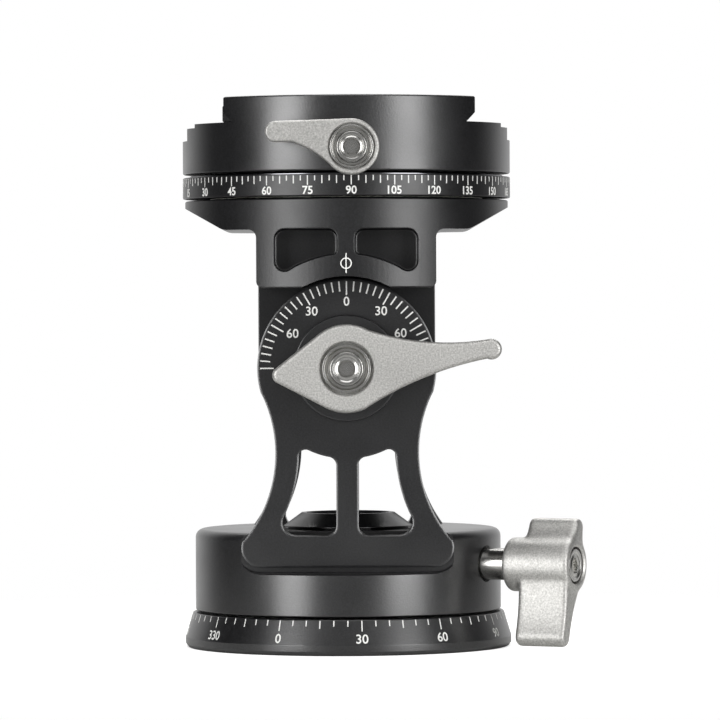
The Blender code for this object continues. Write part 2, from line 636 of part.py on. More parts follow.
def prism(name, outline, start, end, direction, look, frame, chamfer=0):
    """One extruded object."""
    bm = bmesh.new()
    add_prism(bm, outline, start, end, direction, chamfer)
    return finish(name, bm, look, frame)


def turned(name, profile, segments, direction, look, frame, centre=(0, 0)):
    """One turned object."""
    bm = bmesh.new()
    add_turned(bm, profile, segments, direction, centre)
    return finish(name, bm, look, frame)


def ring(name, inner, outer, start, end, segments, direction, look, frame, centre=(0, 0)):
    """One plain ring, washer or tube."""
    profile = [(inner, start), (outer, start), (outer, end), (inner, end)]
    return turned(name, profile, segments, direction, look, frame, centre)


def drill(name, piece, radius, start, end, direction, frame, centre=(0, 0), segments=SMALL_SEGMENTS):
    """Cut a round hole."""
    profile = [(0, start), (radius, start), (radius, end), (0, end)]
    cut(piece, turned(name, profile, segments, direction, None, frame, centre))


def cap_screw(name, place, sizes, flats, direction, look, frame, centre=(0, 0)):
    """A screw with a round head, whose hexagon socket opens towards the direction."""
    head_radius, head, shank_radius, shank = sizes
    top = place + head
    profile = [
        (0, place - shank),
        (shank_radius, place - shank),
        (shank_radius, place),
        (head_radius, place),
        (head_radius, top - SCREW_EDGE),
        (head_radius - SCREW_EDGE, top),
        (0, top),
    ]
    screw = turned(name, profile, SMALL_SEGMENTS, direction, look, frame, centre)
    about = shifted(direction, centre)
    bottom = top - SCREW_SOCKET_DEPTH
    socket = prism(name + "_socket", hexagon(flats), bottom, top + CUT_MARGIN, about, None, frame)
    cut(screw, socket)
    return screw


# Base plate and what stays with it

def make_base_plate(frame):
    """Skirt, deck and post turned in one piece, bored from below for the insert."""
    bore = INSERT_RADIUS + SEAT_GAP
    bore_top = INSERT_LENGTH + 2 * SEAT_GAP
    profile = [
        (bore, 0),
        (BASE_RADIUS - BASE_CHAMFER, 0),
        (BASE_RADIUS, BASE_CHAMFER),
        (BASE_RADIUS, BASE_RIM_HEIGHT),
        (BASE_TOP_RADIUS, BASE_TOP_HEIGHT),
        (POST_RADIUS, BASE_TOP_HEIGHT),
        (POST_RADIUS, POST_SHOULDER_HEIGHT),
        (POST_NECK_RADIUS, POST_SHOULDER_HEIGHT),
        (POST_NECK_RADIUS, POST_TOP_HEIGHT),
        (0, POST_TOP_HEIGHT),
        (0, bore_top),
        (bore, bore_top),
    ]
    turned("base_plate", profile, LARGE_SEGMENTS, to_top, BLACK_ANODISED, frame)


def make_tripod_insert(frame):
    """Steel thread insert, slotted across its lower end for driving it in."""
    bottom = SEAT_GAP
    top = SEAT_GAP + INSERT_LENGTH
    insert = ring(
        "tripod_insert", INSERT_BORE_RADIUS, INSERT_RADIUS, bottom, top, SMALL_SEGMENTS, to_top, POLISHED_STEEL, frame
    )
    half = INSERT_SLOT_WIDTH / 2
    slot_top = bottom + INSERT_SLOT_DEPTH
    slot = [(-half, bottom - CUT_MARGIN), (half, bottom - CUT_MARGIN), (half, slot_top), (-half, slot_top)]
    reach = INSERT_RADIUS + CUT_MARGIN
    cut(insert, prism("tripod_insert_slot", slot, -reach, reach, to_right, None, frame))


def make_pan_bearing(frame):
    """Thrust washer under the drum, and the washer and ring nut over its ledge."""
    bottom = BASE_TOP_HEIGHT + SEAT_GAP
    ring(
        "pan_thrust_washer", THRUST_INNER_RADIUS, THRUST_OUTER_RADIUS, bottom, bottom + THRUST_THICKNESS,
        MEDIUM_SEGMENTS, to_top, SLIDE_POLYMER, frame,
    )
    inner = POST_NECK_RADIUS + SEAT_GAP
    bottom = DRUM_LEDGE_HEIGHT + SEAT_GAP
    top = bottom + UPPER_WASHER_THICKNESS
    ring("pan_upper_washer", inner, UPPER_WASHER_RADIUS, bottom, top, MEDIUM_SEGMENTS, to_top, BRONZE, frame)
    bottom = top + SEAT_GAP
    top = bottom + RETAINER_THICKNESS
    ring("pan_retaining_nut", inner, RETAINER_RADIUS, bottom, top, MEDIUM_SEGMENTS, to_top, DARK_STEEL, frame)


# Yoke

def cheek_outline():
    """Half of the cheek from its top down the flank, then its mirror image."""
    pivot = (0, PIVOT_HEIGHT)
    waist_centre = (WAIST_HALF_WIDTH + WAIST_RADIUS, WAIST_HEIGHT)
    drop = math.asin((FLANK_TOP_HEIGHT - PIVOT_HEIGHT) / CHEEK_RADIUS)
    disc = arc(pivot, CHEEK_RADIUS, drop, math.pi / 2, DISC_STEPS // 2)
    upper = math.pi - math.asin((FLANK_TOP_HEIGHT - WAIST_HEIGHT) / WAIST_RADIUS)
    lower = math.pi + math.asin((WAIST_HEIGHT - FLANK_BOTTOM_HEIGHT) / WAIST_RADIUS)
    flank = arc(waist_centre, WAIST_RADIUS, lower, upper)
    foot_centre = (FOOT_CORNER_WIDTH, FOOT_CORNER_HEIGHT)
    foot = arc(foot_centre, FOOT_CORNER_RADIUS, -math.pi / 2, FOOT_CORNER_START, CORNER_STEPS)
    right = foot + flank[:-1] + disc
    return right + mirrored(right[:-1])


def window_outline():
    """Window between the rib and the leg, under the arc of the tilt block."""
    pivot = (0, PIVOT_HEIGHT)
    flank_centre = (WINDOW_FLANK_HALF_WIDTH + WINDOW_FLANK_RADIUS, WAIST_HEIGHT)

    def flank_angle(height):
        return math.pi - math.asin((height - WAIST_HEIGHT) / WINDOW_FLANK_RADIUS)

    outer_angle = -math.acos(WINDOW_FLANK_HALF_WIDTH / WINDOW_TOP_RADIUS)
    inner_angle = -math.acos(RIB_HALF_WIDTH / WINDOW_TOP_RADIUS)
    top = arc(pivot, WINDOW_TOP_RADIUS, outer_angle, inner_angle, ARC_STEPS // 2)
    bottom = polar(flank_centre, WINDOW_FLANK_RADIUS, flank_angle(WINDOW_BOTTOM_HEIGHT))
    low = flank_angle(WINDOW_BOTTOM_HEIGHT + WINDOW_OUTER_CORNER)
    high = flank_angle(top[0][1] - WINDOW_TOP_CORNER)
    flank = arc(flank_centre, WINDOW_FLANK_RADIUS, low, high, ARC_STEPS // 2)
    low_inner = (RIB_HALF_WIDTH, bottom[1])
    outline = round_corner(top[-1], low_inner, bottom, WINDOW_INNER_CORNER)
    outline += round_corner(low_inner, bottom, flank[0], WINDOW_OUTER_CORNER)
    outline += flank
    outline += round_corner(flank[-1], top[0], top[1], WINDOW_TOP_CORNER)
    outline += top[2:-1]
    outline += round_corner(top[-2], top[-1], low_inner, WINDOW_TOP_CORNER)
    return outline


def make_yoke(frame, lock_frame):
    """Drum and both cheeks milled from one piece."""
    bore = POST_RADIUS + RUN_GAP
    recess_inner = THRUST_INNER_RADIUS - SEAT_GAP
    recess_outer = THRUST_OUTER_RADIUS + SEAT_GAP
    recess_top = BASE_TOP_HEIGHT + THRUST_THICKNESS + 2 * SEAT_GAP
    fillet_centre = (DRUM_RADIUS - DRUM_TOP_FILLET, DRUM_TOP_HEIGHT - DRUM_TOP_FILLET)
    profile = [
        (bore, DRUM_BOTTOM_HEIGHT),
        (recess_inner, DRUM_BOTTOM_HEIGHT),
        (recess_inner, recess_top),
        (recess_outer, recess_top),
        (recess_outer, DRUM_BOTTOM_HEIGHT),
        (DRUM_RADIUS - DRUM_CHAMFER, DRUM_BOTTOM_HEIGHT),
        (DRUM_RADIUS, DRUM_BOTTOM_HEIGHT + DRUM_CHAMFER),
        *arc(fillet_centre, DRUM_TOP_FILLET, 0, math.pi / 2, CORNER_STEPS),
        (DRUM_COUNTERBORE_RADIUS, DRUM_TOP_HEIGHT),
        (DRUM_COUNTERBORE_RADIUS, DRUM_LEDGE_HEIGHT),
        (bore, DRUM_LEDGE_HEIGHT),
    ]
    yoke = turned("yoke", profile, LARGE_SEGMENTS, to_top, BLACK_ANODISED, frame)

    # The drum is milled flat at the front and the back, down to a ledge
    bm = bmesh.new()
    top = DRUM_TOP_HEIGHT + CUT_MARGIN
    outer = DRUM_RADIUS + CUT_MARGIN
    for side in (1, -1):
        inner_edge = side * DRUM_FLAT_DEPTH
        outer_edge = side * outer
        flat = [
            (inner_edge, DRUM_FLAT_HEIGHT), (outer_edge, DRUM_FLAT_HEIGHT), (outer_edge, top), (inner_edge, top)
        ]
        add_prism(bm, flat, -outer, outer, to_right)
    cut(yoke, finish("yoke_flats", bm, None, frame))

    # The cheeks stand a little proud of those flats
    bm = bmesh.new()
    outline = cheek_outline()
    for side in (1, -1):
        add_prism(bm, outline, side * CHEEK_INNER_FACE, side * CHEEK_FACE, to_front, CHEEK_CHAMFER)
    join(yoke, finish("yoke_cheeks", bm, None, frame))

    # Windows beside the rib and the hole for the tilt bolt, through both cheeks
    bm = bmesh.new()
    window = window_outline()
    start = WINDOW_CUT_DEPTH
    end = CHEEK_FACE + CUT_MARGIN
    for side in (1, -1):
        add_prism(bm, window, side * start, side * end, to_front)
        add_prism(bm, mirrored(window), side * start, side * end, to_front)
        hole = BOLT_RADIUS + SEAT_GAP
        bolt_hole = [(0, side * start), (hole, side * start), (hole, side * end), (0, side * end)]
        add_turned(bm, bolt_hole, SMALL_SEGMENTS, to_front, (0, PIVOT_HEIGHT))
    cut(yoke, finish("yoke_windows", bm, None, frame))

    # Bore of the pan lock, wider where the sleeve of the stud enters
    hole = STUD_RADIUS + SEAT_GAP
    seat = STUD_SLEEVE_START - SEAT_GAP
    bore_profile = [
        (0, 0),
        (hole, 0),
        (hole, seat),
        (LOCK_COUNTERBORE_RADIUS, seat),
        (LOCK_COUNTERBORE_RADIUS, outer),
        (0, outer),
    ]
    tool = turned(
        "yoke_lock_bore", bore_profile, SMALL_SEGMENTS, to_right, None, lock_frame, (0, LOCK_HEIGHT)
    )
    cut(yoke, tool)


def make_hub_cap(frame):
    """Cap screwed into the drum over the pan bearing."""
    profile = [
        (CAP_HOLLOW_RADIUS, CAP_SPIGOT_BOTTOM),
        (CAP_SPIGOT_RADIUS, CAP_SPIGOT_BOTTOM),
        (CAP_SPIGOT_RADIUS, DRUM_TOP_HEIGHT + SEAT_GAP),
        (CAP_BASE_RADIUS, DRUM_TOP_HEIGHT + SEAT_GAP),
        (CAP_BASE_RADIUS, DRUM_TOP_HEIGHT + SEAT_GAP + CAP_EDGE),
        (CAP_TOP_RADIUS, CAP_TOP_HEIGHT),
        (CAP_RIM_RADIUS, CAP_TOP_HEIGHT),
        (CAP_DISH_RADIUS, CAP_DISH_HEIGHT),
        (0, CAP_DISH_HEIGHT),
        (0, CAP_HOLLOW_TOP),
        (CAP_HOLLOW_RADIUS, CAP_HOLLOW_TOP),
    ]
    cap = turned("hub_cap", profile, MEDIUM_SEGMENTS, to_top, BLACK_ANODISED, frame)
    top = CAP_TOP_HEIGHT + CUT_MARGIN
    cut(cap, prism("hub_cap_socket", hexagon(CAP_SOCKET_FLATS), CAP_SOCKET_HEIGHT, top, to_top, None, frame))


def make_tilt_bolt(frame):
    """Bolt with its head behind the rear cheek, through both cheeks to the lever."""
    pivot = (0, PIVOT_HEIGHT)
    seat = -CHEEK_FACE - SEAT_GAP
    back = seat - BOLT_HEAD_THICKNESS
    profile = [
        (0, back),
        (BOLT_HEAD_RADIUS - BOLT_HEAD_CHAMFER, back),
        (BOLT_HEAD_RADIUS, back + BOLT_HEAD_CHAMFER),
        (BOLT_HEAD_RADIUS, seat),
        (BOLT_RADIUS, seat),
        (BOLT_RADIUS, BOLT_FRONT),
        (0, BOLT_FRONT),
    ]
    bolt = turned("tilt_bolt", profile, BEARING_SEGMENTS, to_front, DARK_STEEL, frame, pivot)
    about = shifted(to_front, pivot)
    floor = back + BOLT_SOCKET_DEPTH
    cut(bolt, prism("tilt_bolt_socket", hexagon(BOLT_SOCKET_FLATS), back - CUT_MARGIN, floor, about, None, frame))


def make_friction_discs(frame):
    """One friction disc between each cheek and the tilt block."""
    inner_face = TONGUE_HALF_DEPTH + SEAT_GAP
    outer_face = inner_face + FRICTION_THICKNESS
    for name, side in (("friction_disc_front", 1), ("friction_disc_rear", -1)):
        ring(
            name, FRICTION_INNER_RADIUS, FRICTION_OUTER_RADIUS, side * inner_face, side * outer_face,
            MEDIUM_SEGMENTS, to_front, FRICTION_FIBRE, frame, (0, PIVOT_HEIGHT),
        )


# Pan lock

def make_pan_lock(frame):
    """Shoe that presses on the post, the stud behind it, and the wing knob."""
    centre = (0, LOCK_HEIGHT)
    profile = [(0, LOCK_SHOE_START), (LOCK_SHOE_RADIUS, LOCK_SHOE_START)]
    profile += [(LOCK_SHOE_RADIUS, LOCK_SHOE_END), (0, LOCK_SHOE_END)]
    turned("pan_lock_shoe", profile, SMALL_SEGMENTS, to_right, BRASS, frame, centre)

    start = LOCK_SHOE_END + SEAT_GAP
    tap = STUD_END - STUD_TAP_DEPTH
    profile = [
        (0, start),
        (STUD_RADIUS, start),
        (STUD_RADIUS, STUD_SLEEVE_START),
        (STUD_SLEEVE_RADIUS, STUD_SLEEVE_START),
        (STUD_SLEEVE_RADIUS, STUD_SLEEVE_END),
        (STUD_RADIUS, STUD_SLEEVE_END),
        (STUD_RADIUS, STUD_END),
        (STUD_TAP_RADIUS, STUD_END),
        (STUD_TAP_RADIUS, tap),
        (0, tap),
    ]
    turned("pan_knob_stud", profile, SMALL_SEGMENTS, to_right, POLISHED_STEEL, frame, centre)

    hub = [
        (0, KNOB_HUB_START),
        (KNOB_HUB_RADIUS - KNOB_CHAMFER, KNOB_HUB_START),
        (KNOB_HUB_RADIUS, KNOB_HUB_START + KNOB_CHAMFER),
        (KNOB_HUB_RADIUS, KNOB_END - KNOB_CHAMFER),
        (KNOB_HUB_RADIUS - KNOB_CHAMFER, KNOB_END),
        (0, KNOB_END),
    ]
    knob = turned("pan_knob", hub, MEDIUM_SEGMENTS, to_right, SILVER_ANODISED, frame, centre)
    about = shifted(to_right, centre)
    start = KNOB_WING_START
    end = KNOB_END - KNOB_CHAMFER / 2
    join(knob, prism("pan_knob_wing", wing_outline(), start, end, about, None, frame, KNOB_CHAMFER))
    hole = STUD_RADIUS + SEAT_GAP
    pocket = KNOB_END - KNOB_POCKET_DEPTH
    bore = [
        (0, KNOB_HUB_START - CUT_MARGIN),
        (hole, KNOB_HUB_START - CUT_MARGIN),
        (hole, pocket),
        (KNOB_POCKET_RADIUS, pocket),
        (KNOB_POCKET_RADIUS, KNOB_END + CUT_MARGIN),
        (0, KNOB_END + CUT_MARGIN),
    ]
    cut(knob, turned("pan_knob_bore", bore, SMALL_SEGMENTS, to_right, None, frame, centre))

    sizes = (KNOB_SCREW_RADIUS, KNOB_SCREW_HEAD, KNOB_SCREW_SHANK_RADIUS, KNOB_SCREW_SHANK)
    cap_screw(
        "pan_knob_screw", pocket + SEAT_GAP, sizes, KNOB_SCREW_FLATS, to_right, DARK_STEEL, frame, centre
    )


def wing_outline():
    """Two rounded arms that lean off the upright, joined by the round hub."""
    lean = math.pi / 2 - KNOB_TILT
    along = Vector(polar((0, 0), 1, lean))
    across = Vector((along.y, -along.x))
    outline = []
    arms = (
        (1, KNOB_UPPER_REACH, KNOB_UPPER_WAIST_SHARE),
        (-1, KNOB_LOWER_REACH, KNOB_LOWER_WAIST_SHARE),
    )
    for way, reach, waist_share in arms:
        forward = along * way
        sideways = across * way
        root = forward * (KNOB_HUB_RADIUS * math.cos(KNOB_ROOT_ANGLE))
        spread = sideways * (KNOB_HUB_RADIUS * math.sin(KNOB_ROOT_ANGLE))
        middle = forward * (reach * waist_share)
        tip = forward * reach
        edge = sideways * KNOB_TIP_RADIUS
        narrow = sideways * KNOB_WAIST_WIDTH
        outline += arc_through(root + spread, middle + narrow, tip + edge, CORNER_STEPS)[:-1]
        start = math.atan2(edge.y, edge.x)
        outline += arc(tip, KNOB_TIP_RADIUS, start, start + math.pi, ARC_STEPS - CORNER_STEPS)
        outline += arc_through(tip - edge, middle - narrow, root - spread, CORNER_STEPS)[1:]
    return outline


# Tilt lock

def lever_outline():
    """Hub with a long arm to the right and a short tapered tail to the left."""
    hub = (0, 0)
    tail_way = math.atan2(LEVER_TAIL_TIP[1], LEVER_TAIL_TIP[0])
    distance = math.hypot(*LEVER_TAIL_TIP)
    spread = math.acos((LEVER_HUB_RADIUS - LEVER_TAIL_TIP_RADIUS) / distance)
    tail_top = tail_way + math.tau - spread
    tail_bottom = tail_way + math.tau + spread
    hub_bottom = LEVER_HUB_BOTTOM_ANGLE + math.tau
    tip = arc(LEVER_ARM_TIP, LEVER_ARM_TIP_RADIUS, LEVER_ARM_BOTTOM_ANGLE, LEVER_ARM_TOP_ANGLE, ARC_STEPS)
    root_top = polar(hub, LEVER_HUB_RADIUS, LEVER_HUB_TOP_ANGLE)
    root_bottom = polar(hub, LEVER_HUB_RADIUS, hub_bottom)
    outline = tip
    outline += arc_through(tip[-1], LEVER_ARM_TOP_MIDDLE, root_top)[1:]
    outline += arc(hub, LEVER_HUB_RADIUS, LEVER_HUB_TOP_ANGLE, tail_top, ARC_STEPS)[1:]
    outline += arc(LEVER_TAIL_TIP, LEVER_TAIL_TIP_RADIUS, tail_top, tail_bottom, CORNER_STEPS)
    outline += arc(hub, LEVER_HUB_RADIUS, tail_bottom, hub_bottom, CORNER_STEPS)
    outline += arc_through(root_bottom, LEVER_ARM_BOTTOM_MIDDLE, tip[0])[1:-1]
    return outline


def make_tilt_boss(frame):
    """Black thrust washer between the cheek and the lever."""
    inner = BOLT_RADIUS + RUN_GAP
    back = CHEEK_FACE + SEAT_GAP
    face = back + BOSS_THICKNESS
    profile = [
        (inner, back),
        (BOSS_RADIUS, back),
        (BOSS_RADIUS, face - BOSS_CHAMFER),
        (BOSS_RADIUS - BOSS_CHAMFER, face),
        (inner, face),
    ]
    turned("tilt_boss", profile, MEDIUM_SEGMENTS, to_front, BLACK_ANODISED, frame, (0, PIVOT_HEIGHT))


def dished_washer(name, sizes, start, frame, centre):
    """Washer whose face falls from its rim towards the screw."""
    inner, outer = sizes
    rim = start + LEVER_WASHER_THICKNESS
    profile = [
        (inner, start),
        (outer, start),
        (outer, rim),
        (outer - LEVER_WASHER_RIM, rim),
        (inner, rim - LEVER_WASHER_RIM),
    ]
    turned(name, profile, SMALL_SEGMENTS, to_front, POLISHED_STEEL, frame, centre)


def make_tilt_lever(frame):
    """Lever with its steel nut, dished washer and cap screw."""
    pivot = (0, PIVOT_HEIGHT)
    about = shifted(to_front, pivot)
    lever = prism(
        "tilt_lever", lever_outline(), LEVER_BACK, LEVER_FACE, about, SILVER_ANODISED, frame, LEVER_CHAMFER
    )
    collar_end = LEVER_RECESS_FACE - LEVER_WEB / 2
    collar = [(0, LEVER_COLLAR_START), (LEVER_COLLAR_RADIUS, LEVER_COLLAR_START)]
    collar += [(LEVER_COLLAR_RADIUS, collar_end), (0, collar_end)]
    join(lever, turned("tilt_lever_collar", collar, MEDIUM_SEGMENTS, to_front, None, frame, pivot))

    nut_hole = LEVER_NUT_RADIUS + SEAT_GAP
    screw_hole = LEVER_SCREW_SHANK_RADIUS + SEAT_GAP
    bore = [
        (0, LEVER_COLLAR_START - CUT_MARGIN),
        (nut_hole, LEVER_COLLAR_START - CUT_MARGIN),
        (nut_hole, LEVER_RECESS_FACE - LEVER_WEB),
        (screw_hole, LEVER_RECESS_FACE - LEVER_WEB),
        (screw_hole, LEVER_RECESS_FACE),
        (LEVER_RECESS_RADIUS, LEVER_RECESS_FACE),
        (LEVER_RECESS_RADIUS, LEVER_FACE + CUT_MARGIN),
        (0, LEVER_FACE + CUT_MARGIN),
    ]
    cut(lever, turned("tilt_lever_bore", bore, SMALL_SEGMENTS, to_front, None, frame, pivot))

    nut_bore = BOLT_RADIUS + RUN_GAP
    profile = [
        (nut_bore, LEVER_NUT_START),
        (LEVER_NUT_RADIUS, LEVER_NUT_START),
        (LEVER_NUT_RADIUS, LEVER_NUT_END),
        (screw_hole, LEVER_NUT_END),
        (screw_hole, LEVER_NUT_BORE_END),
        (nut_bore, LEVER_NUT_BORE_END),
    ]
    turned("tilt_lever_nut", profile, BEARING_SEGMENTS, to_front, POLISHED_STEEL, frame, pivot)

    seat = LEVER_RECESS_FACE + SEAT_GAP
    dished_washer("tilt_lever_washer", (LEVER_WASHER_INNER_RADIUS, LEVER_WASHER_RADIUS), seat, frame, pivot)
    sizes = (LEVER_SCREW_RADIUS, LEVER_SCREW_HEAD, LEVER_SCREW_SHANK_RADIUS, LEVER_SCREW_SHANK)
    cap_screw("tilt_lever_screw", seat, sizes, LEVER_SCREW_FLATS, to_front, POLISHED_STEEL, frame, pivot)


# Tilt block

def pocket_outline():
    """Blind pocket under the cone, its lower edge running round the pivot."""
    pivot = (0, PIVOT_HEIGHT)
    start = math.acos(POCKET_OUTER / POCKET_ARC_RADIUS)
    end = math.acos(POCKET_INNER / POCKET_ARC_RADIUS)
    low = arc(pivot, POCKET_ARC_RADIUS, start, end, ARC_STEPS)
    top_outer = (POCKET_OUTER, POCKET_TOP_HEIGHT)
    top_inner = (POCKET_INNER, POCKET_TOP_HEIGHT)
    outline = round_corner(top_outer, low[0], low[2], POCKET_CORNER)
    outline += low[3:-2]
    outline += round_corner(low[-2], low[-1], top_inner, POCKET_CORNER / 2)
    outline += round_corner(low[-1], top_inner, top_outer, POCKET_CORNER / 2)
    outline += round_corner(top_inner, top_outer, low[0], POCKET_CORNER)
    return outline


def block_side_outline():
    """What is milled off the side of the block, below the shoulder."""
    outer = CONE_RADIUS + CUT_MARGIN
    bottom = BLOCK_BOTTOM_HEIGHT - CUT_MARGIN
    corner = (BLOCK_HALF_WIDTH, BLOCK_BOTTOM_HEIGHT)
    inside = (0, BLOCK_BOTTOM_HEIGHT)
    shoulder = (BLOCK_HALF_WIDTH, BLOCK_SHOULDER_HEIGHT)
    outline = round_corner(inside, corner, shoulder, BLOCK_CORNER_RADIUS)
    outline += round_corner(corner, shoulder, (outer, BLOCK_SHOULDER_HEIGHT), BLOCK_SHOULDER_FILLET)
    outline += [(outer, BLOCK_SHOULDER_HEIGHT), (outer, bottom), (outline[0][0], bottom)]
    return outline


def tongue_outline():
    """Tongue that hangs from the block and ends round about the pivot."""
    pivot = (0, PIVOT_HEIGHT)
    round_end = arc(pivot, TONGUE_HALF_WIDTH, math.pi, math.tau, DISC_STEPS)
    return [(TONGUE_HALF_WIDTH, TONGUE_TOP_HEIGHT), (-TONGUE_HALF_WIDTH, TONGUE_TOP_HEIGHT)] + round_end


def make_tilt_block(frame):
    """Cone, block and tongue in one piece."""
    profile = [
        (0, BLOCK_BOTTOM_HEIGHT),
        (BLOCK_RADIUS - BLOCK_EDGE_CHAMFER, BLOCK_BOTTOM_HEIGHT),
        (BLOCK_RADIUS, BLOCK_BOTTOM_HEIGHT + BLOCK_EDGE_CHAMFER),
        (BLOCK_RADIUS, CONE_START_HEIGHT),
        (CONE_RADIUS, CONE_END_HEIGHT),
        (CONE_RADIUS - CONE_EDGE, BLOCK_TOP_HEIGHT),
        (0, BLOCK_TOP_HEIGHT),
    ]
    block = turned("tilt_block", profile, LARGE_SEGMENTS, to_top, BLACK_ANODISED, frame)

    # Sides milled flat, and the notch that clears the cheeks
    bm = bmesh.new()
    outer = CONE_RADIUS + CUT_MARGIN
    side = block_side_outline()
    add_prism(bm, side, -outer, outer, to_front)
    add_prism(bm, mirrored(side), -outer, outer, to_front)
    cut(block, finish("tilt_block_sides", bm, None, frame))
    pivot = (0, PIVOT_HEIGHT)
    notch = [(0, -outer), (BLOCK_NOTCH_RADIUS, -outer), (BLOCK_NOTCH_RADIUS, outer), (0, outer)]
    cut(block, turned("tilt_block_notch", notch, LARGE_SEGMENTS, to_front, None, frame, pivot))

    depth = TONGUE_HALF_DEPTH
    join(block, prism("tilt_block_tongue", tongue_outline(), -depth, depth, to_front, None, frame))

    # Bore for the spindle of the dial ring, and the tap of the centre screw under it
    bore = SPINDLE_RADIUS + RUN_GAP
    bore_profile = [
        (0, CENTRE_TAP_BOTTOM),
        (CENTRE_TAP_RADIUS, CENTRE_TAP_BOTTOM),
        (CENTRE_TAP_RADIUS, SPINDLE_BORE_BOTTOM),
        (bore, SPINDLE_BORE_BOTTOM),
        (bore, BLOCK_TOP_HEIGHT + CUT_MARGIN),
        (0, BLOCK_TOP_HEIGHT + CUT_MARGIN),
    ]
    cut(block, turned("tilt_block_spindle_bore", bore_profile, LARGE_SEGMENTS, to_top, None, frame))

    # Pockets at the front and the back, and the bore for the bush
    bm = bmesh.new()
    pocket = pocket_outline()
    for way in (1, -1):
        add_prism(bm, pocket, way * POCKET_FLOOR, way * outer, to_front)
        add_prism(bm, mirrored(pocket), way * POCKET_FLOOR, way * outer, to_front)
    bush = TILT_BUSH_RADIUS + SEAT_GAP
    reach = depth + CUT_MARGIN
    add_turned(bm, [(0, -reach), (bush, -reach), (bush, reach), (0, reach)], SMALL_SEGMENTS, to_front, pivot)
    cut(block, finish("tilt_block_pockets", bm, None, frame))

    hole = TOP_SCREW_RADIUS + SEAT_GAP
    drill("tilt_block_lock_bore", block, hole, 0, -outer, to_front, frame, (0, TOP_LOCK_HEIGHT))


def make_tilt_bush(frame):
    """Bush of the tilt block on the bolt."""
    reach = TONGUE_HALF_DEPTH - RUN_GAP
    ring(
        "tilt_bush", BOLT_RADIUS + RUN_GAP, TILT_BUSH_RADIUS, -reach, reach, BEARING_SEGMENTS, to_front, BRONZE,
        frame, (0, PIVOT_HEIGHT),
    )


def make_centre_screw(frame):
    """Screw that holds the dial ring down on the block, and its washer."""
    bottom = CENTRE_RECESS_HEIGHT + SEAT_GAP
    top = bottom + CENTRE_WASHER_THICKNESS
    inner = CENTRE_SCREW_RADIUS + SEAT_GAP
    ring("centre_washer", inner, CENTRE_WASHER_RADIUS, bottom, top, SMALL_SEGMENTS, to_top, BRONZE, frame)
    shank = CENTRE_SCREW_SEAT - CENTRE_SCREW_BOTTOM
    sizes = (CENTRE_SCREW_HEAD_RADIUS, CENTRE_SCREW_HEAD, CENTRE_SCREW_RADIUS, shank)
    cap_screw("centre_screw", CENTRE_SCREW_SEAT, sizes, CENTRE_SCREW_FLATS, to_top, DARK_STEEL, frame)


def make_top_lock(frame):
    """Shoe and thumb screw that lock the upper pan, at the back of the block."""
    centre = (0, TOP_LOCK_HEIGHT)
    profile = [(0, -TOP_SHOE_START), (TOP_SHOE_RADIUS, -TOP_SHOE_START)]
    profile += [(TOP_SHOE_RADIUS, -TOP_SHOE_END), (0, -TOP_SHOE_END)]
    turned("top_lock_shoe", profile, SMALL_SEGMENTS, to_front, BRASS, frame, centre)
    start = -TOP_SHOE_END - SEAT_GAP
    profile = [
        (0, start),
        (TOP_SCREW_RADIUS, start),
        (TOP_SCREW_RADIUS, -TOP_SCREW_COLLAR_START),
        (TOP_SCREW_COLLAR_RADIUS, -TOP_SCREW_COLLAR_START),
        (TOP_SCREW_COLLAR_RADIUS, -TOP_SCREW_HEAD_START),
        (TOP_SCREW_HEAD_RADIUS, -TOP_SCREW_HEAD_START),
        (TOP_SCREW_HEAD_RADIUS, TOP_SCREW_CHAMFER - TOP_SCREW_HEAD_END),
        (TOP_SCREW_HEAD_RADIUS - TOP_SCREW_CHAMFER, -TOP_SCREW_HEAD_END),
        (0, -TOP_SCREW_HEAD_END),
    ]
    turned("top_lock_screw", profile, SMALL_SEGMENTS, to_front, SILVER_ANODISED, frame, centre)


# Dial ring and clamp

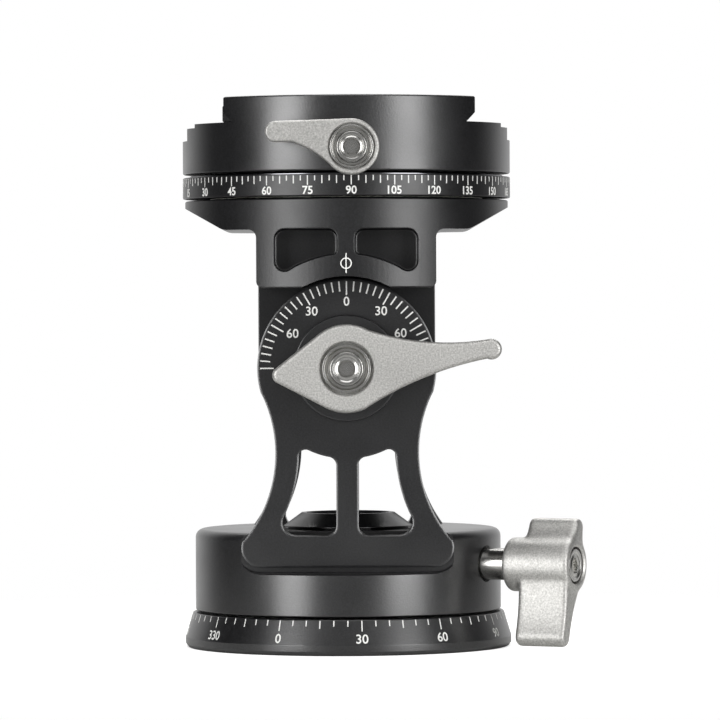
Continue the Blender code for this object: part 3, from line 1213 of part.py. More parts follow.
def make_dial_ring(frame):
    """Turntable whose rim carries the upper pan scale."""
    recess_top = BLOCK_TOP_HEIGHT + BEARING_THICKNESS + 2 * SEAT_GAP
    groove_bottom = SHIM_TOP_HEIGHT - SHIM_THICKNESS - SEAT_GAP
    profile = [
        (CENTRE_TAP_RADIUS, SPINDLE_BOTTOM_HEIGHT),
        (SPINDLE_RADIUS, SPINDLE_BOTTOM_HEIGHT),
        (SPINDLE_RADIUS, DIAL_BOTTOM_HEIGHT),
        (BEARING_INNER_RADIUS - SEAT_GAP, DIAL_BOTTOM_HEIGHT),
        (BEARING_INNER_RADIUS - SEAT_GAP, recess_top),
        (BEARING_OUTER_RADIUS + SEAT_GAP, recess_top),
        (BEARING_OUTER_RADIUS + SEAT_GAP, DIAL_BOTTOM_HEIGHT),
        (DIAL_RADIUS - DIAL_CHAMFER, DIAL_BOTTOM_HEIGHT),
        (DIAL_RADIUS, DIAL_BOTTOM_HEIGHT + DIAL_CHAMFER),
        (DIAL_RADIUS, DIAL_TOP_HEIGHT - DIAL_CHAMFER),
        (DIAL_RADIUS - DIAL_CHAMFER, DIAL_TOP_HEIGHT),
        (SHIM_OUTER_RADIUS + SEAT_GAP, DIAL_TOP_HEIGHT),
        (SHIM_OUTER_RADIUS + SEAT_GAP, groove_bottom),
        (SHIM_INNER_RADIUS - SEAT_GAP, groove_bottom),
        (SHIM_INNER_RADIUS - SEAT_GAP, DIAL_TOP_HEIGHT),
        (CENTRE_RECESS_RADIUS, DIAL_TOP_HEIGHT),
        (CENTRE_RECESS_RADIUS, CENTRE_RECESS_HEIGHT),
        (CENTRE_TAP_RADIUS, CENTRE_RECESS_HEIGHT),
    ]
    dial = turned("dial_ring", profile, LARGE_SEGMENTS, to_top, BLACK_ANODISED, frame)
    bm = bmesh.new()
    hole = FIXING_RADIUS + SEAT_GAP
    bottom = FIXING_BOTTOM - SEAT_GAP
    top = DIAL_TOP_HEIGHT + CUT_MARGIN
    for side in (1, -1):
        hole_profile = [(0, bottom), (hole, bottom), (hole, top), (0, top)]
        add_turned(bm, hole_profile, SMALL_SEGMENTS, to_top, (side * FIXING_OFFSET, 0))
    cut(dial, finish("dial_ring_taps", bm, None, frame))

    bottom = BLOCK_TOP_HEIGHT + SEAT_GAP
    ring(
        "top_bearing_ring", BEARING_INNER_RADIUS, BEARING_OUTER_RADIUS, bottom, bottom + BEARING_THICKNESS,
        MEDIUM_SEGMENTS, to_top, SLIDE_POLYMER, frame,
    )
    bottom = SHIM_TOP_HEIGHT - SHIM_THICKNESS
    ring(
        "clamp_shim", SHIM_INNER_RADIUS, SHIM_OUTER_RADIUS, bottom, SHIM_TOP_HEIGHT,
        MEDIUM_SEGMENTS, to_top, POLISHED_STEEL, frame,
    )


def clamp_disc(name, inner, look, frame):
    """Full disc of the clamp, with an optional pocket underneath."""
    profile = [
        (CLAMP_RADIUS - CLAMP_CHAMFER, CLAMP_BOTTOM_HEIGHT),
        (CLAMP_RADIUS, CLAMP_BOTTOM_HEIGHT + CLAMP_CHAMFER),
        (CLAMP_RADIUS, CLAMP_TOP_HEIGHT - CLAMP_CHAMFER),
        (CLAMP_RADIUS - CLAMP_CHAMFER, CLAMP_TOP_HEIGHT),
        (0, CLAMP_TOP_HEIGHT),
    ]
    if inner:
        profile += [(0, CLAMP_POCKET_HEIGHT), (inner, CLAMP_POCKET_HEIGHT), (inner, CLAMP_BOTTOM_HEIGHT)]
    else:
        profile += [(0, CLAMP_BOTTOM_HEIGHT)]
    return turned(name, profile, LARGE_SEGMENTS, to_top, look, frame)


def make_clamp_body(frame):
    """Floor and front jaw of the clamp, with its rear cut square for the sliding jaw."""
    body = clamp_disc("clamp_body", CENTRE_RECESS_RADIUS, BLACK_ANODISED, frame)
    outer = CLAMP_RADIUS + CUT_MARGIN
    top = CLAMP_TOP_HEIGHT + CUT_MARGIN
    bottom = CLAMP_BOTTOM_HEIGHT - CUT_MARGIN
    channel = [
        (-LIP_DEPTH, top),
        (-LIP_DEPTH, LIP_HEIGHT),
        (-UNDERCUT_DEPTH, CLAMP_FLOOR_HEIGHT),
        (-CHANNEL_RECESS_DEPTH, CLAMP_FLOOR_HEIGHT),
        (-CHANNEL_RECESS_DEPTH, CHANNEL_RECESS_HEIGHT),
        (CHANNEL_RECESS_DEPTH, CHANNEL_RECESS_HEIGHT),
        (CHANNEL_RECESS_DEPTH, CLAMP_FLOOR_HEIGHT),
        (BODY_REAR_FACE, CLAMP_FLOOR_HEIGHT),
        (BODY_REAR_FACE, bottom),
        (outer, bottom),
        (outer, top),
    ]
    cut(body, prism("clamp_body_channel", channel, -outer, outer, to_right, None, frame))

    bm = bmesh.new()
    half = END_NOTCH_HALF_WIDTH
    notch = [(-half, END_NOTCH_HEIGHT), (half, END_NOTCH_HEIGHT), (half, top), (-half, top)]
    for side in (1, -1):
        add_prism(bm, notch, side * END_NOTCH_START, side * outer, to_right)
    cut(body, finish("clamp_body_notches", bm, None, frame))

    # Holes for the clamp rod, the guide pins and the fixing screws
    bm = bmesh.new()
    rod = ROD_RADIUS + SEAT_GAP
    rear = -BODY_REAR_FACE - CUT_MARGIN
    add_turned(bm, [(0, outer), (rod, outer), (rod, rear), (0, rear)], SMALL_SEGMENTS, to_front, (0, ROD_HEIGHT))
    pin = PIN_RADIUS + RUN_GAP
    head = FIXING_HEAD_RADIUS + SEAT_GAP
    seat = FIXING_HEAD_BOTTOM - SEAT_GAP
    hole = FIXING_RADIUS + SEAT_GAP
    for side in (1, -1):
        pin_hole = [(0, -PIN_HOLE_FRONT), (pin, -PIN_HOLE_FRONT), (pin, rear), (0, rear)]
        add_turned(bm, pin_hole, SMALL_SEGMENTS, to_front, (side * PIN_OFFSET, ROD_HEIGHT))
        screw_hole = [(0, bottom), (hole, bottom), (hole, seat), (head, seat), (head, top), (0, top)]
        add_turned(bm, screw_hole, SMALL_SEGMENTS, to_top, (side * FIXING_OFFSET, 0))
    cut(body, finish("clamp_body_holes", bm, None, frame))


def make_fixing_screws(frame):
    """Two screws that hold the clamp body on the dial ring."""
    sizes = (
        FIXING_HEAD_RADIUS,
        FIXING_HEAD_TOP - FIXING_HEAD_BOTTOM,
        FIXING_RADIUS,
        FIXING_HEAD_BOTTOM - FIXING_BOTTOM,
    )
    for name, side in (("fixing_screw_right", 1), ("fixing_screw_left", -1)):
        centre = (side * FIXING_OFFSET, 0)
        cap_screw(name, FIXING_HEAD_BOTTOM, sizes, FIXING_FLATS, to_top, DARK_STEEL, frame, centre)


def make_rear_jaw(frame):
    """Sliding jaw behind the body, carried on two pins and drawn by the rod."""
    jaw = clamp_disc("rear_jaw", 0, BLACK_ANODISED, frame)
    outer = CLAMP_RADIUS + CUT_MARGIN
    top = CLAMP_TOP_HEIGHT + CUT_MARGIN
    bottom = CLAMP_BOTTOM_HEIGHT - CUT_MARGIN
    front = [
        (LIP_DEPTH, top),
        (-outer, top),
        (-outer, bottom),
        (JAW_FRONT_FACE, bottom),
        (JAW_FRONT_FACE, CLAMP_FLOOR_HEIGHT),
        (UNDERCUT_DEPTH, CLAMP_FLOOR_HEIGHT),
        (LIP_DEPTH, LIP_HEIGHT),
    ]
    cut(jaw, prism("rear_jaw_front", front, -outer, outer, to_right, None, frame))

    bm = bmesh.new()
    face = -JAW_FRONT_FACE + CUT_MARGIN
    seat = -JAW_NUT_END - SEAT_GAP
    rod = ROD_RADIUS + SEAT_GAP
    nut = [
        (0, face),
        (JAW_NUT_POCKET_RADIUS, face),
        (JAW_NUT_POCKET_RADIUS, seat),
        (rod, seat),
        (rod, -ROD_HOLE_END),
        (0, -ROD_HOLE_END),
    ]
    add_turned(bm, nut, SMALL_SEGMENTS, to_front, (0, ROD_HEIGHT))
    pin = PIN_RADIUS + RUN_GAP
    for side in (1, -1):
        hole = [(0, face), (pin, face), (pin, -PIN_HOLE_REAR), (0, -PIN_HOLE_REAR)]
        add_turned(bm, hole, SMALL_SEGMENTS, to_front, (side * PIN_OFFSET, ROD_HEIGHT))
    cut(jaw, finish("rear_jaw_holes", bm, None, frame))

    for name, side in (("jaw_pin_right", 1), ("jaw_pin_left", -1)):
        pin_profile = [(0, -PIN_FRONT), (PIN_RADIUS, -PIN_FRONT), (PIN_RADIUS, -PIN_REAR), (0, -PIN_REAR)]
        centre = (side * PIN_OFFSET, ROD_HEIGHT)
        turned(name, pin_profile, SMALL_SEGMENTS, to_front, POLISHED_STEEL, frame, centre)

    about = shifted(to_front, (0, ROD_HEIGHT))
    nut = prism("jaw_nut", hexagon(JAW_NUT_FLATS), -JAW_NUT_START, -JAW_NUT_END, about, BRASS, frame)
    reach = JAW_NUT_END + CUT_MARGIN
    start = JAW_NUT_START - CUT_MARGIN
    drill("jaw_nut_bore", nut, ROD_RADIUS + RUN_GAP, -start, -reach, to_front, frame, (0, ROD_HEIGHT))


def clamp_lever_outline():
    """Round hub with one arm to the left, hollowed on its lower edge."""
    hub = (0, 0)
    bottom = -math.pi / 2
    hub_bottom = polar(hub, CLAMP_HUB_RADIUS, CLAMP_HUB_BOTTOM_ANGLE)
    outline = arc(hub, CLAMP_HUB_RADIUS, CLAMP_HUB_BOTTOM_ANGLE - math.tau, CLAMP_HUB_TOP_ANGLE, DISC_STEPS // 2)
    outline += arc(CLAMP_TIP, CLAMP_TIP_RADIUS, CLAMP_HUB_TOP_ANGLE, math.tau + bottom, ARC_STEPS // 2)
    outline += arc_through(CLAMP_WAIST_START, CLAMP_WAIST_MIDDLE, hub_bottom, CORNER_STEPS)[:-1]
    return outline


def make_clamp_lever(frame):
    """Lever, threaded rod, dished washer and cap screw, which turn together."""
    centre = (0, ROD_HEIGHT)
    about = shifted(to_front, centre)
    lever = prism(
        "clamp_lever", clamp_lever_outline(), CLAMP_LEVER_BACK, CLAMP_LEVER_FACE, about, SILVER_ANODISED, frame,
        CLAMP_LEVER_CHAMFER,
    )
    rod_hole = ROD_RADIUS + SEAT_GAP
    screw_hole = CLAMP_SCREW_SHANK_RADIUS + SEAT_GAP
    bore = [
        (0, CLAMP_LEVER_BACK - CUT_MARGIN),
        (rod_hole, CLAMP_LEVER_BACK - CUT_MARGIN),
        (rod_hole, CLAMP_RECESS_FACE - CLAMP_WEB),
        (screw_hole, CLAMP_RECESS_FACE - CLAMP_WEB),
        (screw_hole, CLAMP_RECESS_FACE),
        (CLAMP_RECESS_RADIUS, CLAMP_RECESS_FACE),
        (CLAMP_RECESS_RADIUS, CLAMP_LEVER_FACE + CUT_MARGIN),
        (0, CLAMP_LEVER_FACE + CUT_MARGIN),
    ]
    cut(lever, turned("clamp_lever_bore", bore, SMALL_SEGMENTS, to_front, None, frame, centre))

    tap = ROD_FRONT - ROD_TAP_DEPTH
    profile = [
        (0, -ROD_REAR),
        (ROD_RADIUS, -ROD_REAR),
        (ROD_RADIUS, ROD_FRONT),
        (ROD_TAP_RADIUS, ROD_FRONT),
        (ROD_TAP_RADIUS, tap),
        (0, tap),
    ]
    turned("clamp_rod", profile, SMALL_SEGMENTS, to_front, POLISHED_STEEL, frame, centre)

    seat = CLAMP_RECESS_FACE + SEAT_GAP
    dished_washer("clamp_lever_washer", (CLAMP_WASHER_INNER_RADIUS, CLAMP_WASHER_RADIUS), seat, frame, centre)
    sizes = (CLAMP_SCREW_RADIUS, CLAMP_SCREW_HEAD, CLAMP_SCREW_SHANK_RADIUS, CLAMP_SCREW_SHANK)
    cap_screw("clamp_lever_screw", seat, sizes, CLAMP_SCREW_FLATS, to_front, POLISHED_STEEL, frame, centre)


def build_head():
    """Build the whole head from the base upwards."""
    clear_scene()
    base = make_frame("base_frame", 0)
    pan = make_frame("pan_frame", 0, 0, base)
    lock = make_frame("pan_lock_frame", LOCK_HEIGHT, KNOB_TURN, pan)
    tilt = make_frame("tilt_frame", PIVOT_HEIGHT, 0, pan)
    top_lock = make_frame("top_lock_frame", TOP_LOCK_HEIGHT, 0, tilt)
    top = make_frame("top_frame", DIAL_BOTTOM_HEIGHT, TOP_TURN, tilt)
    rod = make_frame("clamp_rod_frame", ROD_HEIGHT, 0, top)
    lever = make_frame("tilt_lock_frame", PIVOT_HEIGHT, 0, pan)

    make_base_plate(base)
    make_tripod_insert(base)
    make_pan_bearing(base)

    make_yoke(pan, lock)
    make_hub_cap(pan)
    make_tilt_bolt(pan)
    make_friction_discs(pan)
    make_pan_lock(lock)
    make_tilt_boss(lever)
    make_tilt_lever(lever)

    make_tilt_block(tilt)
    make_tilt_bush(tilt)
    make_centre_screw(tilt)
    make_top_lock(top_lock)

    make_dial_ring(top)
    make_clamp_body(top)
    make_fixing_screws(top)
    make_rear_jaw(top)
    make_clamp_lever(rod)


build_head()
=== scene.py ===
# %% [markdown]
# # A two way pan and tilt head, dressed for its photograph
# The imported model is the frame: it fixes every size and every joint. This lesson puts a finely modelled piece over
# each node that can be seen, rides it on the node's body, and gives it a finish made of shader nodes. The pieces are
# modelled in millimetres, which is how a machinist would read them, and scaled to metres once at the end.

import math

import bmesh
import bpy
from mathutils import Matrix, Vector


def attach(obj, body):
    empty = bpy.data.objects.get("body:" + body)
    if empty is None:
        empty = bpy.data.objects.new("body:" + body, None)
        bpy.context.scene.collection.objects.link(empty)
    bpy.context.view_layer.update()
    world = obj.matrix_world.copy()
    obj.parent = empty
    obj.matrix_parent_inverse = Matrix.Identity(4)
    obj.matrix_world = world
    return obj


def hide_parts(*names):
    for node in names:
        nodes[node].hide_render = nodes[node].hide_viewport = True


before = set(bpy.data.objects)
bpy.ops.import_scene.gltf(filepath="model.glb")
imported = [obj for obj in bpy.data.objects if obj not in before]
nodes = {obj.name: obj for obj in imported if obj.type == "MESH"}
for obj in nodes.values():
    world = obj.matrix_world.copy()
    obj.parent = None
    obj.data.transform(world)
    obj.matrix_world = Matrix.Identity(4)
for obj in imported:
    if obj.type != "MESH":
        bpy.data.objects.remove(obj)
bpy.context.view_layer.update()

# %% [markdown]
# ## Finishes
# A finish starts from how the real surface was made. The black and the silver parts are aluminium that was blasted
# with fine glass beads and then anodised. Blasting leaves a skin of tiny dimples, so highlights spread wide and
# sparkle a little. The dimples are really about 0.05 mm across, which is finer than one pixel here, so they are drawn
# at 0.3 mm. Turned steel keeps the fine rings that the lathe tool left in it, and they stretch its highlights.
#
# All patterns read Object coordinates in metres, so a size in millimetres fixes each scale.

# %% Colours and nodes
MM = 0.001


def linear(code):
    """Turn an sRGB hex colour into the linear values that a shader takes."""
    channels = [int(code[i:i + 2], 16) / 255 for i in (1, 3, 5)]
    return [*(c / 12.92 if c <= 0.04045 else ((c + 0.055) / 1.055) ** 2.4 for c in channels), 1.0]


def add_node(tree, kind, settings=None, links=None):
    """Add a node, set its sockets and properties, and link its inputs from (node, output) pairs."""
    node = tree.nodes.new(kind)
    for key, value in (settings or {}).items():
        if isinstance(key, int) or key in node.inputs:
            node.inputs[key].default_value = value
        else:
            setattr(node, key, value)
    for socket, (source, output) in (links or {}).items():
        tree.links.new(source.outputs[output], node.inputs[socket])
    return node


def start_finish(name, settings):
    """A new material with its shader's own sockets set, and the Object coordinates to build on."""
    material = bpy.data.materials.new(name)
    material.use_nodes = True
    tree = material.node_tree
    shader = tree.nodes["Principled BSDF"]
    for key, value in settings.items():
        shader.inputs[key].default_value = value
    return material, tree, shader, add_node(tree, "ShaderNodeTexCoord")


def add_shades(tree, shader, source, dark, light, low=0.0, high=1.0):
    """Colour a shader from dark to light while the value of a texture goes from low to high."""
    shades = add_node(tree, "ShaderNodeValToRGB", None, {"Fac": (source, "Fac")})
    for element, place, shade in zip(shades.color_ramp.elements, (low, high), (dark, light)):
        element.position, element.color = place, linear(shade)
    tree.links.new(shades.outputs["Color"], shader.inputs["Base Color"])


def add_roughness(tree, shader, source, roughness, spread, low=0.0, high=1.0):
    """Vary the roughness of a shader while the value of a texture goes from low to high."""
    varied = add_node(
        tree, "ShaderNodeMapRange",
        {"From Min": low, "From Max": high, "To Min": roughness - spread, "To Max": roughness + spread},
        {"Value": (source, "Fac")},
    )
    tree.links.new(varied.outputs["Result"], shader.inputs["Roughness"])


def add_relief(tree, shader, source, depth, strength=1.0):
    """Bump a shader by a texture, with a depth in millimetres."""
    bump = add_node(
        tree, "ShaderNodeBump", {"Strength": strength, "Distance": depth * MM}, {"Height": (source, "Fac")}
    )
    tree.links.new(bump.outputs["Normal"], shader.inputs["Normal"])


print("one unit is a metre, and", MM, "of it a millimetre")

# %% [markdown]
# ### Blasted and anodised aluminium
# Two shades that speckle with the grit, the same grit in the bump, and a slow change of roughness like the one that
# handling leaves. One function makes both the black and the silver finish. Dyed black oxide is a clear layer over a
# dark one, so it is not metallic. The undyed silver shows the metal itself. The dial ring and the tilt block look
# duller in the photograph than the drum, so they have a matt black of their own.

# %% Blasted finishes
GRIT, HANDLING, WEAR = 0.3 * MM, 14 * MM, 0.03


def blasted(name, dark, light, settings, roughness, relief):
    """Bead blasted, anodised aluminium."""
    material, tree, shader, coords = start_finish(name, settings)
    grit = add_node(
        tree, "ShaderNodeTexNoise", {"Scale": 1 / GRIT, "Detail": 1.5, "Roughness": 0.6}, {"Vector": (coords, "Object")}
    )
    add_shades(tree, shader, grit, dark, light, 0.3, 0.7)
    handling = add_node(tree, "ShaderNodeTexNoise", {"Scale": 1 / HANDLING}, {"Vector": (coords, "Object")})
    add_roughness(tree, shader, handling, roughness, WEAR, 0.35, 0.65)
    add_relief(tree, shader, grit, relief)
    return material


black_aluminium = blasted(
    "aluminium_blasted_black_anodised", "#020203", "#1d1d1f", {"Metallic": 0.0, "IOR": 1.76}, 0.32, 0.014
)
matt_aluminium = blasted(
    "aluminium_blasted_matt_black_anodised", "#020203", "#18181a", {"Metallic": 0.0, "IOR": 1.58}, 0.38, 0.014
)
silver_aluminium = blasted("aluminium_blasted_clear_anodised", "#a9a8a5", "#d2d1ce", {"Metallic": 1.0}, 0.53, 0.02)
print("blasted:", black_aluminium.name, matt_aluminium.name, silver_aluminium.name)

# %% [markdown]
# ### Turned metals
# The lathe leaves rings about the axis of each piece. The Wave texture draws rings about the axis of its own space,
# so a Mapping node of the Texture type first moves that space onto the axis of the piece. Each axis gets its own
# copy. A tool advances about 0.05 mm a turn, and the rings are drawn 0.16 mm apart so that they still show.

# %% Turned finishes
TOOL_MARK, TOOL_MARK_DEPTH, WAVE_PERIOD = 0.16 * MM, 0.002, math.tau / 20
PIVOT_HEIGHT, CLAMP_ROD_HEIGHT, LOCK_HEIGHT = 51.2, 90.6, 15.5
TOP_TURN, KNOB_TURN = math.radians(1.9), math.radians(-26)


def turned(name, dark, light, roughness, axis, place=(0, 0, 0), turn=0):
    """Bright metal with tool marks about an axis that is X, Y or Z once turned about Z."""
    material, tree, shader, coords = start_finish(name, {"Metallic": 1.0})
    space = add_node(
        tree, "ShaderNodeMapping",
        {"vector_type": "TEXTURE", "Location": [value * MM for value in place], "Rotation": (0, 0, turn)},
        {"Vector": (coords, "Object")},
    )
    rings = add_node(
        tree, "ShaderNodeTexWave",
        {"wave_type": "RINGS", "rings_direction": axis, "Scale": WAVE_PERIOD / TOOL_MARK, "Distortion": 0.4,
         "Detail": 1.0},
        {"Vector": (space, "Vector")},
    )
    add_shades(tree, shader, rings, dark, light)
    add_roughness(tree, shader, rings, roughness, 0.05)
    add_relief(tree, shader, rings, TOOL_MARK_DEPTH, 0.5)
    return material


BRIGHT = ("#b3b2af", "#c6c5c2")
DARK = ("#26262a", "#3a3a3e")
pivot_place = (0, 0, PIVOT_HEIGHT)
rod_place = (0, 0, CLAMP_ROD_HEIGHT)
lock_place = (0, 0, LOCK_HEIGHT)
steel_upright = turned("steel_bright_turned_upright", *BRIGHT, 0.26, "Z")
# The shim's steel is darker than the bright steel: painted shade for the dark gap between the dial ring and the clamp.
shim_steel_painted_shade = turned("steel_shim_painted_shade", "#5e5e61", "#727275", 0.15, "Z")
steel_tilt = turned("steel_bright_turned_tilt_axis", *BRIGHT, 0.26, "Y", pivot_place)
steel_clamp = turned("steel_bright_turned_clamp_axis", *BRIGHT, 0.26, "Y", rod_place, TOP_TURN)
steel_lock = turned("steel_bright_turned_lock_axis", *BRIGHT, 0.26, "X", lock_place, KNOB_TURN)
black_steel_upright = turned("steel_blackened_upright", *DARK, 0.34, "Z")
black_steel_tilt = turned("steel_blackened_tilt_axis", *DARK, 0.34, "Y", pivot_place)
bronze = turned("bronze_turned", "#8c6a3c", "#a98350", 0.40, "Z")
bronze_tilt = turned("bronze_turned_tilt_axis", "#8c6a3c", "#a98350", 0.40, "Y", pivot_place)
brass = turned("brass_turned", "#b8924c", "#d0ab62", 0.32, "Y", rod_place, TOP_TURN)
print("turned:", len([m for m in bpy.data.materials if "turned" in m.name or "blackened" in m.name]))

# %% [markdown]
# ### Ink, polymer and fibre
# The numbers are filled with white epoxy ink, which is slightly rough and a little uneven. The sliding washers are
# machined from pale acetal, smooth and waxy. The friction discs are pressed brown fibre, with short strands that lie
# flat, so a noise stretched in one direction gives their grain.

# %% Plain finishes


def mottled(name, dark, light, size, stretch, roughness, relief):
    """A finish that isn't metal, mottled by a noise of one size in millimetres."""
    material, tree, shader, coords = start_finish(name, {"Roughness": roughness})
    space = add_node(tree, "ShaderNodeMapping", {"Scale": stretch}, {"Vector": (coords, "Object")})
    noise = add_node(
        tree, "ShaderNodeTexNoise", {"Scale": 1 / (size * MM), "Detail": 3.0}, {"Vector": (space, "Vector")}
    )
    add_shades(tree, shader, noise, dark, light, 0.35, 0.65)
    add_relief(tree, shader, noise, relief)
    return material


white_ink = mottled("epoxy_ink_white_filled", "#dededb", "#ebebe8", 0.25, (1, 1, 1), 0.50, 0.004)
acetal = mottled("acetal_pale_machined", "#c9c7be", "#d3d1c9", 1.5, (1, 1, 1), 0.35, 0.01)
fibre = mottled("friction_fibre_pressed", "#3a2d22", "#5a4838", 0.3, (1, 1, 6), 0.80, 0.03)
print("plain:", white_ink.name, acetal.name, fibre.name)

# %% [markdown]
# ## Outlines and solids
# Machined parts come from two moves: a profile turned about an axis, and a flat outline milled to a depth. The
# lesson has one helper for each. `spin_profile` uses the spin operator on a closed profile. `stack` extrudes the face
# of an outline from level to level, so that each level may be a little smaller or larger, which gives rounded rims.
# Real edges are never sharp: they are broken by 0.1 to 0.8 mm, and the thin highlights along them make a render
# believable.

# %% Curves
LARGE, MEDIUM, SMALL = 192, 96, 56


def polar(centre, radius, angle):
    """Point on a circle."""
    return (centre[0] + radius * math.cos(angle), centre[1] + radius * math.sin(angle))


def arc(centre, radius, start, end, steps):
    """Points of an arc from one angle to another, both included."""
    return [polar(centre, radius, start + (end - start) * i / steps) for i in range(steps + 1)]


def arc_through(first, middle, last, steps):
    """Points of the arc that runs from one point through a second to a third."""
    a, b, c = Vector(first), Vector(middle), Vector(last)
    twice_area = 2 * (a.x * (b.y - c.y) + b.x * (c.y - a.y) + c.x * (a.y - b.y))
    sizes = (a.length_squared, b.length_squared, c.length_squared)
    centre = Vector((
        (sizes[0] * (b.y - c.y) + sizes[1] * (c.y - a.y) + sizes[2] * (a.y - b.y)) / twice_area,
        (sizes[0] * (c.x - b.x) + sizes[1] * (a.x - c.x) + sizes[2] * (b.x - a.x)) / twice_area,
    ))
    start = math.atan2(a.y - centre.y, a.x - centre.x)
    sweep = math.remainder(math.atan2(c.y - centre.y, c.x - centre.x) - start, math.tau)
    return arc(centre, (a - centre).length, start, start + sweep, steps)


def round_corner(before, corner, after, radius, steps=6):
    """Points of the fillet between the two edges that meet in a corner."""
    corner = Vector(corner)
    back = (Vector(before) - corner).normalized()
    ahead = (Vector(after) - corner).normalized()
    half = math.acos(max(-1, min(1, back.dot(ahead)))) / 2
    centre = corner + (back + ahead).normalized() * (radius / math.sin(half))
    start = corner + back * (radius / math.tan(half)) - centre
    end = corner + ahead * (radius / math.tan(half)) - centre
    first = math.atan2(start.y, start.x)
    sweep = math.remainder(math.atan2(end.y, end.x) - first, math.tau)
    return arc(centre, radius, first, first + sweep, steps)


def soften(outline, radius, steps=3):
    """Round each corner of a closed outline, less where its edges are short. Corners on the axis stay."""
    softened = []
    for i, corner in enumerate(outline):
        if corner[0] == 0:
            softened.append(corner)
            continue
        before, after = outline[i - 1], outline[(i + 1) % len(outline)]
        back, ahead = Vector(before) - Vector(corner), Vector(after) - Vector(corner)
        half = back.angle(ahead) / 2
        reach = min(radius / math.tan(half), 0.45 * min(back.length, ahead.length))
        softened += round_corner(before, corner, after, reach * math.tan(half), steps)
    return softened


def mirrored(points):
    """The same curve on the other side of the upright axis, run backwards."""
    return [(-u, v) for u, v in reversed(points)]


def widened(outline, distance):
    """A closed outline moved outwards by a distance, or inwards by a negative one."""
    area = sum(a[0] * b[1] - b[0] * a[1] for a, b in zip(outline, outline[1:] + outline[:1]))
    distance = math.copysign(distance, area * distance)
    moved = []
    for i, point in enumerate(outline):
        back = Vector(point) - Vector(outline[i - 1])
        ahead = Vector(outline[(i + 1) % len(outline)]) - Vector(point)
        out = Vector((back.y, -back.x)).normalized()
        mitre = (out + Vector((ahead.y, -ahead.x)).normalized()).normalized()
        moved.append(tuple(Vector(point) + mitre * (distance / mitre.dot(out))))
    return moved


# %% Solids


def add_spin(bm, profile, segments, centre=(0, 0)):
    """Turn a closed profile of (radius, distance) points about the upright axis through a centre."""
    points = [bm.verts.new((centre[0] + radius, centre[1], along)) for radius, along in profile]
    edges = [
        bm.edges.new((points[i - 1], points[i])) for i in range(len(profile)) if profile[i - 1][0] or profile[i][0]
    ]
    bmesh.ops.spin(
        bm, geom=points + edges, cent=(*centre, 0), axis=(0, 0, 1), angle=math.tau, steps=segments, use_merge=True
    )


def spin_profile(profile, segments, centre=(0, 0)):
    """One turned solid."""
    bm = bmesh.new()
    add_spin(bm, profile, segments, centre)
    return bm


def add_stack(bm, levels):
    """Skin a stack of (outline, height) levels whose outlines have the same number of corners."""
    order = bm.verts.layers.int.get("corner") or bm.verts.layers.int.new("corner")
    outline, height = levels[0]
    corners = [bm.verts.new((u, v, height)) for u, v in outline]
    for i, vert in enumerate(corners):
        vert[order] = i
    face = bm.faces.new(corners)
    for outline, height in levels[1:]:
        grown = bmesh.ops.extrude_face_region(bm, geom=[face, *face.edges])["geom"]
        face = next(item for item in grown if isinstance(item, bmesh.types.BMFace))
        for vert in face.verts:
            vert.co = (*outline[vert[order]], height)


def stack(levels):
    """One milled solid."""
    bm = bmesh.new()
    add_stack(bm, levels)
    return bm


def add_both_ways(bm, levels):
    """Add a stack, and its mirror image through the level of height 0."""
    for side in (1, -1):
        add_stack(bm, [(outline, side * height) for outline, height in levels])


def rounded_levels(outline, start, end, near=0.0, far=0.0, steps=4):
    """Levels of an outline from start to end, with the near and far rims rounded."""
    levels = []
    for i in range(steps + 1 if near else 1):
        lean = math.pi / 2 * i / steps
        levels.append((widened(outline, near * (math.sin(lean) - 1)), start + near * (1 - math.cos(lean))))
    for i in range(steps + 1 if far else 1):
        lean = math.pi / 2 * i / steps
        levels.append((widened(outline, far * (math.cos(lean) - 1)), end - far * (1 - math.sin(lean))))
    return levels


def flared_levels(outline, floor, face, flare, steps=3):
    """Levels of a tool that cuts an opening down from a face and rounds off its rim."""
    levels = [(outline, floor)]
    for i in range(steps + 1):
        lean = math.pi / 2 * i / steps
        levels.append((widened(outline, flare * (1 - math.cos(lean))), face - flare * (1 - math.sin(lean))))
    return levels + [(widened(outline, flare), face + 3)]


# %% [markdown]
# A Boolean joins or cuts two closed solids exactly. The helper puts both in throwaway objects, reads the evaluated
# result back as a bmesh and removes them. add_piece then finishes a piece: it moves the mesh to its place, scales it
# to metres, marks the sharp edges, ties it to its body and hides the CAD node that it stands for. Tools that cut right
# through reach BEYOND the metal, so that no two faces lie in one plane.

# %% Booleans and finishing
FRONT = Matrix.Rotation(math.radians(90), 4, "X")
RIGHT = Matrix(((0, 0, 1, 0), (1, 0, 0, 0), (0, 1, 0, 0), (0, 0, 0, 1)))
UPRIGHT = Matrix.Identity(4)
TURNED_TOP = Matrix.Rotation(TOP_TURN, 4, "Z")
AT_PIVOT = Matrix.Translation(pivot_place) @ FRONT
AT_CLAMP_ROD = TURNED_TOP @ Matrix.Translation(rod_place) @ FRONT
AT_PAN_LOCK = Matrix.Rotation(KNOB_TURN, 4, "Z") @ Matrix.Translation(lock_place) @ RIGHT
BEYOND, WELD = 40, 0.001


def moved(bm, place):
    """The bmesh, moved by a matrix."""
    bmesh.ops.transform(bm, matrix=place, verts=bm.verts)
    return bm


